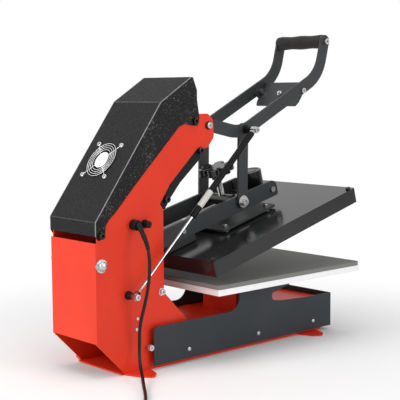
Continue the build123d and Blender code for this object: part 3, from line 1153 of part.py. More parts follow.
coil_ends = [coil_point(quarter / 4) for quarter in range(COIL_QUARTERS + 1)]
coil_tangents = [coil_tangent(quarter / 4) for quarter in range(COIL_QUARTERS + 1)]
coil_tangents[0] = coil_heading
coil_tail = coil_ends[-1] + coil_tangents[-1] * COIL_LEAD
with BuildPart() as cord_coil:
    with BuildLine() as coil_line:
        Line(route[-1], coil_start)
        for a, b, at_a, at_b in zip(coil_ends, coil_ends[1:], coil_tangents, coil_tangents[1:]):
            chord, both = b - a, at_a + at_b
            slack, lean = 2 * (1 - at_a.dot(at_b)), chord.dot(both)
            reach = (sqrt(lean**2 + 2 * slack * chord.dot(chord)) - lean) / (2 * slack)
            knee_a, knee_b = a + at_a * reach, b - at_b * reach
            middle = (knee_a + knee_b) * 0.5
            TangentArc(a, middle, tangent=at_a)
            TangentArc(middle, b, tangent=knee_b - knee_a)
        Line(coil_ends[-1], coil_tail)
    with BuildSketch(Plane(origin=route[-1], z_dir=coil_heading)):
        Circle(CORD_D / 2)
    sweep(path=coil_line.wire())
coil_length = coil_line.wire().length
SAMPLES = 1000
samples = [coil_line.wire() @ (i / SAMPLES) for i in range(SAMPLES + 1)]
skip = int(3 * CORD_D * SAMPLES / coil_length)
least = min((p - q).length for i, p in enumerate(samples) for q in samples[i + skip :])
print("coil length", round(coil_length, 1), "least gap to itself", round(least - CORD_D, 3))
print("coil volume share", round(cord_coil.part.volume / (coil_length * pi * CORD_D**2 / 4), 4))
save(cord_coil, "cord_coil")

# Tie round the bundle, on the side away from both ends
COIL_LOW = route[-1].Z - CORD_D / 2
COIL_WALL = COIL_PITCH * COIL_TURNS / 4 + CORD_D / 2 + 3 * TIE_CLEAR
with BuildPart() as cord_tie:
    across = coil_outward.rotate(Axis.Z, TIE_TURN)
    middle = coil_centre + across * COIL_MEAN_R + Vector(0, 0, COIL_PITCH / 2)
    band = Plane(origin=middle, x_dir=across, z_dir=across.cross(Vector(0, 0, 1)))
    with BuildSketch(band.offset(-TIE_WIDTH / 2)):
        inner = (2 * COIL_WALL, COIL_PITCH + CORD_D + 2 * TIE_CLEAR)
        RectangleRounded(inner[0] + 2 * TIE_T, inner[1] + 2 * TIE_T, CORD_D / 2)
        RectangleRounded(inner[0], inner[1], CORD_D / 2 - TIE_T, mode=Mode.SUBTRACT)
    extrude(amount=TIE_WIDTH)
save(cord_tie, "cord_tie")

# Plain moulded plug with three round pins
with BuildPart() as plug:
    plug_way = coil_tangents[-1]
    plug_plane = Plane(origin=coil_tail, x_dir=(-plug_way.Y, plug_way.X, 0), z_dir=plug_way)
    with BuildSketch(plug_plane):
        Circle(CORD_D / 2 + 1)
    with BuildSketch(plug_plane.offset(PLUG_NECK)):
        Circle(CORD_D / 2 + 3.5)
    loft()
    with BuildSketch(plug_plane.offset(PLUG_NECK)):
        RectangleRounded(PLUG[0], PLUG[1], 7)
    extrude(amount=PLUG[2])
    fillet(faces().filter_by(Axis((0, 0, 0), plug_way)).sort_by(SortBy.AREA)[-1].edges(), 2)
    with BuildSketch(plug_plane.offset(PLUG_NECK + PLUG[2])):
        with Locations((0, 5), (-6.5, -4), (6.5, -4)):
            Circle(PIN_R)
    extrude(amount=PIN_LENGTH)
save(plug, "plug")
print("cord in all", round(cord_length + coil_length, 1))
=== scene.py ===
"""Look of a slide-out heat press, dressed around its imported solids.

X runs across the machine, -Y is the operator's side and Z is up, all in metres. "Forward" is measured from the
rear panel's outer face towards the operator, as on a side drawing, and the fields of the pieces are in millimetres.
"""

from __future__ import annotations

import json
import logging
import math
from dataclasses import dataclass, field
from enum import Enum
from typing import Sequence, Union

import bpy
import numpy as np
from mathutils import Matrix, Vector


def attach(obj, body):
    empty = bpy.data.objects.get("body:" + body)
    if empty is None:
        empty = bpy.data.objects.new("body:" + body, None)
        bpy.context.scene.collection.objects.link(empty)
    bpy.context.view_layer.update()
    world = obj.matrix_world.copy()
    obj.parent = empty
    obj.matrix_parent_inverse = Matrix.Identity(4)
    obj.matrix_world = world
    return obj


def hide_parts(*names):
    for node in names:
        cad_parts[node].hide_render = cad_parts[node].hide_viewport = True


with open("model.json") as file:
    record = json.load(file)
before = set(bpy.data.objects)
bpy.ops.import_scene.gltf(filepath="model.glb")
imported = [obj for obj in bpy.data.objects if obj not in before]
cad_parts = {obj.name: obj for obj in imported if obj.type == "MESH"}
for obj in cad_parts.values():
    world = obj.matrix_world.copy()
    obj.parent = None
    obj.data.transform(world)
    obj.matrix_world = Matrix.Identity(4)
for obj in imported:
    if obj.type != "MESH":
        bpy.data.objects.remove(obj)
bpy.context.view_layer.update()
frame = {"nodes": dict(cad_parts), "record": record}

LOG = logging.getLogger("heat_press")
MM = 0.001
REAR_Y = 0.37875
QUARTER = math.pi / 2
Array = np.ndarray
Object = bpy.types.Object
Material = bpy.types.Material
Colour = tuple[float, float, float]
Point = tuple[float, float, float]
Spot = tuple[float, float]
Rows = Sequence[Spot]
Shape = tuple[Rows, Union[Sequence[bool], None]]


def at(x: float, forward: float, up: float) -> Array:
    """Point in metres from (x, forward, up) in millimetres.

    Args:
        x: Distance across the machine.
        forward: Distance from the rear panel's outer face towards the operator.
        up: Height above the floor.

    Returns:
        The point in the shared frame.
    """
    return np.array([x * MM, REAR_Y - forward * MM, up * MM])


class Kind(Enum):
    """Kinds of shader node that the finishes ask for by role."""

    COORDINATES = "ShaderNodeTexCoord"
    MAPPING = "ShaderNodeMapping"
    NOISE = "ShaderNodeTexNoise"
    CELLS = "ShaderNodeTexVoronoi"
    MATHS = "ShaderNodeMath"
    VECTOR = "ShaderNodeVectorMath"
    MIX = "ShaderNodeMix"
    RANGE = "ShaderNodeMapRange"
    BUMP = "ShaderNodeBump"
    RAYS = "ShaderNodeLightPath"
    GLOW = "ShaderNodeEmission"
    BLEND = "ShaderNodeMixShader"


class Term:
    """One number or vector of a shader; the usual operators add Math nodes to its material."""

    def __init__(self, recipe: "Recipe", socket: bpy.types.NodeSocket) -> None:
        """Wrap a socket.

        Args:
            recipe: Material that the socket belongs to.
            socket: Output that carries the value.
        """
        self.recipe = recipe
        self.socket = socket

    def __add__(self, other: "Value") -> "Term":
        """Sum."""
        return self.recipe.maths("ADD", self, other)

    def __radd__(self, other: float) -> "Term":
        """Sum with a number on the left."""
        return self.recipe.maths("ADD", other, self)

    def __sub__(self, other: "Value") -> "Term":
        """Difference."""
        return self.recipe.maths("SUBTRACT", self, other)

    def __rsub__(self, other: float) -> "Term":
        """Difference from a number on the left."""
        return self.recipe.maths("SUBTRACT", other, self)

    def __mul__(self, other: "Value") -> "Term":
        """Product."""
        return self.recipe.maths("MULTIPLY", self, other)

    def __rmul__(self, other: float) -> "Term":
        """Product with a number on the left."""
        return self.recipe.maths("MULTIPLY", other, self)

    def __abs__(self) -> "Term":
        """Size without its sign."""
        return self.recipe.maths("ABSOLUTE", self, 0.0)

    def rise(self, low: float, high: float) -> "Term":
        """Smooth step.

        Args:
            low: Where the result is 0.
            high: Where it is 1.

        Returns:
            The step.
        """
        settings = {"interpolation_type": "SMOOTHSTEP"}
        node = self.recipe.node(Kind.RANGE, settings, {"Value": self, "From Min": low, "From Max": high})
        return Term(self.recipe, node.outputs["Result"])


Value = Union[Term, float]


class Recipe:
    """A material or a world under construction, with its nodes made from arithmetic on terms."""

    def __init__(self, name: str, world: bpy.types.World | None = None) -> None:
        """Start a material with its Principled shader, or work on a world.

        Args:
            name: Name of the new material.
            world: World that takes the place of a new material.
        """
        self.material = world or bpy.data.materials.new(name)
        self.material.use_nodes = True
        self.tree = self.material.node_tree
        self.shader = self.tree.nodes.get("Principled BSDF")
        self.place = self.node(Kind.COORDINATES).outputs["Object"]

    def node(self, kind: Kind, settings: dict | None = None, inputs: dict | None = None) -> bpy.types.Node:
        """Add a node.

        Args:
            kind: What it does.
            settings: Properties set first, such as a Math node's operation.
            inputs: Values or links of its sockets, by name or place.

        Returns:
            The node.
        """
        made = self.tree.nodes.new(kind.value)
        for name, value in (settings or {}).items():
            setattr(made, name, value)
        for name, value in (inputs or {}).items():
            self.feed(made.inputs[name], value)
        return made

    def feed(self, socket: bpy.types.NodeSocket, value: object) -> None:
        """Link a term or a socket to an input, or set its constant.

        Args:
            socket: Input to fill.
            value: A term, an output socket or a plain value.
        """
        if isinstance(value, Term):
            self.tree.links.new(value.socket, socket)
        elif isinstance(value, bpy.types.NodeSocket):
            self.tree.links.new(value, socket)
        else:
            socket.default_value = value

    def maths(self, operation: str, first: Value, second: Value) -> Term:
        """Result of a Math node on two values."""
        node = self.node(Kind.MATHS, {"operation": operation}, {0: first, 1: second})
        return Term(self, node.outputs[0])

    def along(self, direction: Sequence[float], origin: Sequence[float] = (0, 0, 0)) -> Term:
        """Distance of a point of the surface from an origin along a direction.

        Args:
            direction: Unit vector.
            origin: Point where the distance is 0.

        Returns:
            The distance in metres.
        """
        offset = float(np.dot(direction, origin))
        inputs = {0: self.place, 1: tuple(float(v) for v in direction)}
        node = self.node(Kind.VECTOR, {"operation": "DOT_PRODUCT"}, inputs)
        return Term(self, node.outputs["Value"]) - offset

    def noise(self, size: float, detail: float = 2.0, roughness: float = 0.5, scale: Point = (1, 1, 1)) -> Term:
        """Soft noise from 0 to 1.

        Args:
            size: Size of its largest spots in metres.
            detail: Number of finer layers.
            roughness: Their weight.
            scale: Stretch along each axis.

        Returns:
            The noise.
        """
        place = self.node(Kind.MAPPING, None, {"Vector": self.place, "Scale": scale}).outputs["Vector"]
        inputs = {"Vector": place, "Scale": 1 / size, "Detail": detail, "Roughness": roughness}
        return Term(self, self.node(Kind.NOISE, {"noise_dimensions": "3D"}, inputs).outputs[0])

    def cells(self, size: float, smooth: float = 0.6) -> Term:
        """Distance to the nearest point of a field of cells, 0 at each cell's middle.

        Args:
            size: Size of a cell in metres.
            smooth: Blending of one cell into the next, 0 to 1.

        Returns:
            The distance, in cells.
        """
        settings = {"feature": "SMOOTH_F1"}
        inputs = {"Vector": self.place, "Scale": 1 / size, "Smoothness": smooth}
        return Term(self, self.node(Kind.CELLS, settings, inputs).outputs["Distance"])

    def mix(self, share: Value, first: object, second: object) -> Term:
        """Colour between two colours.

        Args:
            share: 0 for the first, 1 for the second.
            first: Colour or term.
            second: Colour or term.

        Returns:
            The colour.
        """
        def rgba(colour: object) -> object:
            """The colour with its alpha, if it is a plain one."""
            return colour if isinstance(colour, Term) else (*colour, 1.0)

        node = self.node(Kind.MIX, {"data_type": "RGBA"}, {0: share, 6: rgba(first), 7: rgba(second)})
        return Term(self, node.outputs[2])

    def relief(self, height: Term, depth: float, strength: float = 1.0) -> None:
        """Give the surface a relief: a pattern from 0 to 1, its depth in metres and its strength."""
        inputs = {"Height": height, "Distance": depth, "Strength": strength}
        self.feed(self.shader.inputs["Normal"], self.node(Kind.BUMP, None, inputs).outputs["Normal"])

    def finished(self, colour: object, roughness: Value, **others: Value) -> Material:
        """Fill the Principled shader.

        Args:
            colour: Base colour.
            roughness: Roughness.
            others: More sockets, an underscore for each space.

        Returns:
            The material.
        """
        for name, value in {"Base_Color": colour, "Roughness": roughness, **others}.items():
            self.feed(self.shader.inputs[name.replace("_", " ")], value)
        return self.material


@dataclass(frozen=True)
class Coating:
    """Sprayed paint: its colour drifts a little, its skin is uneven and its gloss wanders."""

    name: str
    colour: Colour
    drift: Colour
    roughness: float
    wander: float
    gloss: float
    coat: float
    peel: float
    depth: float

    def make(self) -> Material:
        """Build the material.

        Returns:
            The material.
        """
        recipe = Recipe(self.name)
        broad = recipe.noise(0.14, 3.0)
        dust = recipe.noise(0.011, 4.0, 0.65).rise(0.52, 0.78)
        colour = recipe.mix(broad.rise(0.3, 0.7) * 0.75 + dust * 0.25, self.colour, self.drift)
        roughness = recipe.noise(0.03, 3.0) * self.wander + dust * 0.05 + self.roughness
        recipe.relief(recipe.noise(self.peel, 2.0), self.depth, 0.55)
        gloss = {"Specular_IOR_Level": self.gloss, "Coat_Weight": self.coat, "Coat_Roughness": 0.16}
        return recipe.finished(colour, roughness, **gloss)


@dataclass(frozen=True)
class TexturedCoating:
    """Coarse powder coat: small raised grains with crests painted lighter (painted highlight) and hollows darker
    (painted shade), a few pale specks, and a painted highlight along a cover's folds where the paint also wears thin.
    """

    name: str
    # colours of the grain: painted shade in its hollows, painted highlight on its crests
    shaded_hollow: Colour
    lit_crest: Colour
    speck: Colour
    # colour along the cover's folds: painted highlight, with some wear of the paint
    fold_lit_and_rubbed: Colour
    grain: float
    depth: float
    folds: tuple[tuple[Point, Point], ...]
    cheek: float

    def make(self) -> Material:
        """Build the material.

        Returns:
            The material.
        """
        recipe = Recipe(self.name)
        fine = recipe.noise(self.grain * 0.45, 3.0, 0.6)
        height = (1 - recipe.cells(self.grain, 0.75)) * 0.7 + fine * 0.3
        lit_crest = height.rise(0.42, 0.74)
        out = abs(recipe.along((1.0, 0.0, 0.0)))
        cheek = out.rise(self.cheek - 0.0004, self.cheek - 0.0002)
        specks = recipe.noise(0.0032, 2.0).rise(0.66, 0.72) + self.curls(recipe)
        # painted highlight on the grain's crests and painted shade in its hollows: the colour follows the grain's
        # height
        coat = recipe.mix(specks * (cheek * 0.7 + 0.06), recipe.mix(lit_crest, self.shaded_hollow, self.lit_crest), self.speck)
        # painted highlight along the folds, with some wear of the paint; the same mask also makes them smoother
        fold_lit_and_worn = self.fold_highlight_and_wear(recipe, out) * (recipe.noise(0.009, 4.0, 0.6).rise(0.25, 0.55) * 0.6 + 0.4)
        recipe.relief(height, self.depth, 0.6)
        roughness = 0.6 - lit_crest * 0.16 - fold_lit_and_worn * 0.16
        return recipe.finished(recipe.mix(fold_lit_and_worn, coat, self.fold_lit_and_rubbed), roughness, Specular_IOR_Level=0.13)

    def curls(self, recipe: Recipe) -> Term:
        """Thin pale curls in patches, where a soft noise crosses one half: 1 - |noise - 1/2| / width."""
        ridge = abs(recipe.noise(0.017, 4.0, 0.55) - 0.5)
        return (1 - ridge.rise(0.001, 0.006)) * recipe.noise(0.05, 2.0).rise(0.46, 0.6)

    def fold_highlight_and_wear(self, recipe: Recipe, out: Term) -> Term:
        """Painted highlight along the folds, with some wear of the paint there too: out by a cheek and close under a
        plane, or, faintly, close under two planes.

        Args:
            recipe: Material under construction.
            out: Distance from the machine's middle plane.

        Returns:
            1 within a millimetre of a fold, 0 away from all.
        """
        depths = [0.0 - recipe.along(normal, point) for normal, point in self.folds]
        under, ridge = depths[0], 0.0
        # the bends between two planes get a faint painted highlight (ridge), the cheek edges a stronger one (side),
        # both with some wear
        for before, depth in zip(depths, depths[1:]):
            under = recipe.maths("MINIMUM", under, depth)
            both = recipe.maths("MAXIMUM", before, depth)
            ridge = recipe.maths("MAXIMUM", ridge, 1 - both.rise(0.0004, 0.0013))
        side = out.rise(self.cheek - 0.0021, self.cheek - 0.0009) * (1 - under.rise(0.0007, 0.0021))
        return recipe.maths("MAXIMUM", side, ridge * 0.16)


class Grain(Enum):
    """Direction in which a metal was ground, drawn or turned, as a stretch of its streaks."""

    ACROSS = (0.02, 1.0, 1.0)
    FORWARD = (1.0, 0.02, 1.0)
    NONE = (1.0, 1.0, 1.0)


@dataclass(frozen=True)
class Metal:
    """Bare metal with fine tool marks."""

    name: str
    colour: Colour
    shade: Colour
    roughness: float
    wander: float
    grain: Grain
    streak: float
    depth: float
    metallic: float = 1.0

    def make(self) -> Material:
        """Build the material.

        Returns:
            The material.
        """
        recipe = Recipe(self.name)
        streaks = recipe.noise(self.streak, 4.0, 0.65, self.grain.value)
        stains = recipe.noise(0.02, 3.0).rise(0.35, 0.8)
        colour = recipe.mix(stains * 0.55 + streaks * 0.3, self.colour, self.shade)
        recipe.relief(streaks, self.depth, 0.5)
        roughness = streaks * self.wander + stains * 0.05 + self.roughness
        return recipe.finished(colour, roughness, Metallic=self.metallic)


@dataclass(frozen=True)
class BrightEndedSteel:
    """Dark oiled bar with polished ends beyond a distance from the machine's middle plane."""

    name: str
    bar: Colour
    ends: Colour
    ends_from: float

    def make(self) -> Material:
        """Build the material.

        Returns:
            The material.
        """
        recipe = Recipe(self.name)
        out = abs(recipe.along((1.0, 0.0, 0.0))).rise(self.ends_from - 0.001, self.ends_from)
        streaks = recipe.noise(0.001, 4.0, 0.65)
        recipe.relief(streaks, 0.00001, 0.5)
        roughness = streaks * 0.14 + (1 - out) * 0.14 + 0.14
        return recipe.finished(recipe.mix(out, self.bar, self.ends), roughness, Metallic=1.0)


@dataclass(frozen=True)
class Moulded:
    """Plastic, rubber or foam with a moulded or cut skin."""

    name: str
    colour: Colour
    bloom: Colour
    roughness: float
    pore: float
    depth: float
    sheen: float = 0.0
    gloss: float = 0.4

    def make(self) -> Material:
        """Build the material.

        Returns:
            The material.
        """
        recipe = Recipe(self.name)
        pores = recipe.cells(self.pore, 0.35)
        mottle = recipe.noise(0.025, 4.0, 0.6)
        colour = recipe.mix(mottle.rise(0.3, 0.75) * 0.6 + pores * 0.4, self.colour, self.bloom)
        recipe.relief(1 - pores * pores, self.depth, 0.7)
        gloss = {"Specular_IOR_Level": self.gloss, "Sheen_Weight": self.sheen}
        return recipe.finished(colour, mottle * 0.14 + self.roughness, **gloss)


@dataclass(frozen=True)
class SkinnedSponge:
    """Silicone sponge sheet: a smooth moulded skin on top, and cut sides with open pores below a height, painted
    paler as a painted highlight from the side light.
    """

    name: str
    skin: Colour
    bloom: Colour
    # colour of the sides, painted paler as a painted highlight from the side light
    cut: Colour
    top: float

    def make(self) -> Material:
        """Build the material.

        Returns:
            The material.
        """
        recipe = Recipe(self.name)
        # side is 1 on the sides: their paler colour is a painted highlight, while their pores and extra roughness are
        # real
        side = 1 - recipe.along((0.0, 0.0, 1.0)).rise(self.top - 0.0016, self.top - 0.0004)
        pores = recipe.cells(0.0011, 0.35)
        mottle = recipe.noise(0.03, 4.0, 0.6)
        skin = recipe.mix(mottle.rise(0.3, 0.75) * 0.7 + pores * 0.3, self.skin, self.bloom)
        # paler side colour: painted highlight from the side light
        cut = recipe.mix(pores.rise(0.1, 0.6) * 0.5, self.cut, self.skin)
        recipe.relief((1 - pores * pores) * (side * 0.7 + 0.3), 0.00018, 0.7)
        roughness = mottle * 0.12 + side * 0.2 + 0.58
        return recipe.finished(recipe.mix(side, skin, cut), roughness, Specular_IOR_Level=0.3)


@dataclass(frozen=True)
class Felt:
    """Pressed fibre blanket: matted threads over a pale ground."""

    name: str
    colour: Colour
    shade: Colour

    def make(self) -> Material:
        """Build the material.

        Returns:
            The material.
        """
        recipe = Recipe(self.name)
        threads = recipe.noise(0.0016, 5.0, 0.75, (0.25, 1.0, 1.0))
        tufts = recipe.noise(0.006, 4.0, 0.7)
        mat = threads * 0.6 + tufts * 0.4
        recipe.relief(mat, 0.0012, 0.9)
        return recipe.finished(recipe.mix(mat, self.colour, self.shade), tufts * 0.08 + 0.9)


@dataclass(frozen=True)
class Lens:
    """Smoked clear plastic over a dark window, with faint wipe marks."""

    name: str
    colour: Colour
    film: Colour

    def make(self) -> Material:
        """Build the material.

        Returns:
            The material.
        """
        recipe = Recipe(self.name)
        wipes = recipe.noise(0.012, 4.0, 0.6, (0.2, 1.0, 1.0)).rise(0.45, 0.85)
        colour = recipe.mix(wipes, self.colour, self.film)
        return recipe.finished(colour, wipes * 0.1 + 0.05, Coat_Weight=0.6, Coat_Roughness=0.04)


@dataclass(frozen=True)
class BandedPaint:
    """Glossy paint on a tube with one plain pale sleeve part of the way along it, and a bare steel end."""

    name: str
    colour: Colour
    drift: Colour
    band: Colour
    axis: Point
    foot: Point
    span: Spot
    bare_from: float
    steel: Colour

    def make(self) -> Material:
        """Build the material.

        Returns:
            The material.
        """
        recipe = Recipe(self.name)
        along = recipe.along(self.axis, self.foot)
        edge = 0.0004
        low, high = self.span
        sleeve = along.rise(low - edge, low + edge) * (1 - along.rise(high - edge, high + edge))
        bare = along.rise(self.bare_from - edge, self.bare_from + edge)
        drift = recipe.noise(0.03, 3.0)
        paint = recipe.mix(drift, self.colour, self.drift)
        colour = recipe.mix(bare, recipe.mix(sleeve, paint, self.band), self.steel)
        recipe.relief(sleeve * 0.8 + recipe.noise(0.0012, 2.0) * 0.1, 0.0001, 0.6)
        roughness = sleeve * 0.3 + drift * 0.08 + 0.16
        return recipe.finished(colour, roughness, Metallic=bare, Specular_IOR_Level=0.08)


@dataclass
class Skin:
    """Closed surface as arrays: points, four-sided faces and three-sided ones."""

    points: Array
    quads: Array
    tris: Array

    def volume(self) -> float:
        """Signed volume, the sum of the tetrahedra from the origin to each triangle.

        Returns:
            The volume, positive if the faces look out.
        """
        tris = np.concatenate([self.quads[:, :3], self.quads[:, [0, 2, 3]], self.tris])
        a, b, c = (self.points[tris[:, k]] for k in range(3))
        return float(np.einsum("ij,ij->i", a, np.cross(b, c)).sum() / 6)

    def outward(self) -> "Skin":
        """Turn the faces to look outwards.

        Returns:
            The same surface with its faces turned if need be.
        """
        if self.volume() < 0:
            return Skin(self.points, self.quads[:, ::-1], self.tris[:, ::-1])
        return self

    @staticmethod
    def joined(skins: Sequence["Skin"]) -> "Skin":
        """Join several shells.

        Args:
            skins: The shells.

        Returns:
            One surface made of them.
        """
        starts = np.cumsum([0] + [len(skin.points) for skin in skins[:-1]])
        return Skin(
            np.concatenate([skin.points for skin in skins]),
            np.concatenate([skin.quads + start for skin, start in zip(skins, starts)]),
            np.concatenate([skin.tris + start for skin, start in zip(skins, starts)]),
        )


def tube(rings: Array, endless: bool = False) -> Skin:
    """Skin over rings of points: point (i, j) joins (i, j+1), (i+1, j+1) and (i+1, j), and j wraps round.

    Args:
        rings: Array of rows by points round by 3.
        endless: True where the last ring joins the first, as on a ring-shaped piece; otherwise both ends get a fan.

    Returns:
        The closed skin, facing outwards.
    """
    rows, cols, _ = rings.shape
    number = np.arange(rows * cols).reshape(rows, cols)
    low = number if endless else number[:-1]
    high = np.roll(number, -1, 0) if endless else number[1:]
    quads = np.stack([low, np.roll(low, -1, 1), np.roll(high, -1, 1), high], -1).reshape(-1, 4)
    points = rings.reshape(-1, 3)
    tris = np.zeros((0, 3), int)
    if not endless:
        points = np.concatenate([points, rings[[0, -1]].mean(1)])
        first, last = number[0], number[-1]
        near = np.stack([np.full(cols, rows * cols), np.roll(first, -1), first], -1)
        far = np.stack([np.full(cols, rows * cols + 1), last, np.roll(last, -1)], -1)
        tris = np.concatenate([near, far])
    return Skin(points, quads, tris).outward()


def square_to(axis: Array) -> tuple[Array, Array]:
    """Find two unit vectors square to an axis and to each other.

    Args:
        axis: Unit vector.

    Returns:
        The two vectors.
    """
    helper = np.array([1.0, 0, 0]) if abs(axis[0]) < 0.9 else np.array([0, 0, 1.0])
    first = np.cross(axis, helper)
    first /= np.linalg.norm(first)
    return first, np.cross(axis, first)


def hexagon(angles: Array, across: float) -> Array:
    """Radius of a hexagon with a half width of 1/2 across at each angle: across / 2 / cos(angle from the flat)."""
    return across / 2 / np.cos((angles + math.pi / 6) % (math.pi / 3) - math.pi / 6)


def stand(name: str, data: bpy.types.ID) -> Object:
    """Put some data into the scene as an object at the origin.

    Args:
        name: The object's name.
        data: What it shows, such as a mesh.

    Returns:
        The new object.
    """
    thing = bpy.data.objects.new(name, data)
    bpy.context.scene.collection.objects.link(thing)
    return thing


def circle(sides: int) -> Array:
    """Evenly spaced angles of a full turn, from 0."""
    return np.arange(sides) * 2 * math.pi / sides


def spokes(axis: Array, angles: Array) -> Array:
    """Unit vectors square to an axis, one for each angle: u cos + v sin."""
    u, v = square_to(axis)
    return np.cos(angles)[:, None] * u + np.sin(angles)[:, None] * v


def lathe(shape: Shape, origin: Array, axis: Array, sides: int = 48) -> Skin:
    """Profile turned about an axis; a row marked as hexagonal is cut to flats.

    Args:
        shape: Rows of (along, radius) in millimetres from one end to the other, and for each whether its radius is
            limited by a hexagon of that half width across corners, or None where no row is.
        origin: Point where along is 0.
        axis: Unit vector of the axis.
        sides: Points round.

    Returns:
        The turned skin.
    """
    rows, angles = np.array(shape[0], float) * MM, circle(sides)
    radii = np.repeat(rows[:, 1:2], sides, 1)
    if shape[1] is not None:
        flats = hexagon(angles, math.sqrt(3))[None, :] * rows[:, 1:2]
        radii = np.where(np.array(shape[1])[:, None], flats, radii)
    return tube(origin + rows[:, 0, None, None] * axis + radii[:, :, None] * spokes(axis, angles)[None])


def outwards(shape: Shape, x: float, spots: Rows, sides: int = 48, signs: Sequence[int] = (-1, 1)) -> list[Skin]:
    """Turned pieces of one shape that point outwards from the machine's sides.

    Args:
        shape: Profile, as lathe takes it.
        x: Distance of its along 0 from the middle plane.
        spots: (forward, up) of each.
        sides: Points round.
        signs: -1 for the near side, 1 for the far one.

    Returns:
        One skin for each.
    """
    return [
        lathe(shape, at(sign * x, *spot), np.array([float(sign), 0, 0]), sides)
        for sign in signs for spot in spots
    ]


def arc(centre: Spot, radius: float, start: float, end: float, steps: int) -> list[Spot]:
    """Points of an arc in a profile: centre + radius (cos, sin) of evenly spaced angles in degrees."""
    angles = np.radians(np.linspace(start, end, steps))
    return [(centre[0] + radius * math.cos(a), centre[1] + radius * math.sin(a)) for a in angles]


def rounded_outline(half_x: float, half_y: float, radius: float, steps: int = 7, fill: int = 9) -> Array:
    """Rectangle with round corners: four quarter circles, with evenly spaced points on the straights between them.

    Args:
        half_x: Half of its width.
        half_y: Half of its length.
        radius: Corner radius.
        steps: Points on each corner.
        fill: Points on each straight.

    Returns:
        Array of points by 2.
    """
    points = []
    corners = [(1, 1, 0), (-1, 1, 90), (-1, -1, 180), (1, -1, 270)]
    arcs = [
        np.array(arc((sx * (half_x - radius), sy * (half_y - radius)), radius, start, start + 90, steps))
        for sx, sy, start in corners
    ]
    for here, after in zip(arcs, arcs[1:] + arcs[:1]):
        share = np.linspace(0, 1, fill + 2)[1:-1, None]
        points += [here, here[-1] * (1 - share) + after[0] * share]
    return np.concatenate(points)


def slab(half: Spot, corner: float, levels: Rows, place: Matrix, wave: float = 0.0) -> Skin:
    """Cushion-like slab: each level is the rounded outline drawn in by an inset, at a height.

    Args:
        half: Half width and half length.
        corner: Corner radius of the outline.
        levels: (inset, height) rows from the underside's middle over the edge to the top's middle.
        place: Where the slab's own frame lies.
        wave: Height of a gentle unevenness on levels that are inset, sin(37x + 1) sin(29y).

    Returns:
        The slab's skin.
    """
    rings, reach = [], min(half) - 0.002
    for inset, height in levels:
        drawn = min(inset, reach)
        outline = rounded_outline(half[0] - drawn, half[1] - drawn, max(corner - drawn, 0.001))
        lift = wave * np.sin(37 * outline[:, 0] + 1) * np.sin(29 * outline[:, 1]) * min(inset / 0.02, 1)
        rings.append(np.column_stack([outline, height + lift]))
    return tube(np.stack(rings) @ np.array(place.to_3x3()).T + np.array(place.translation))


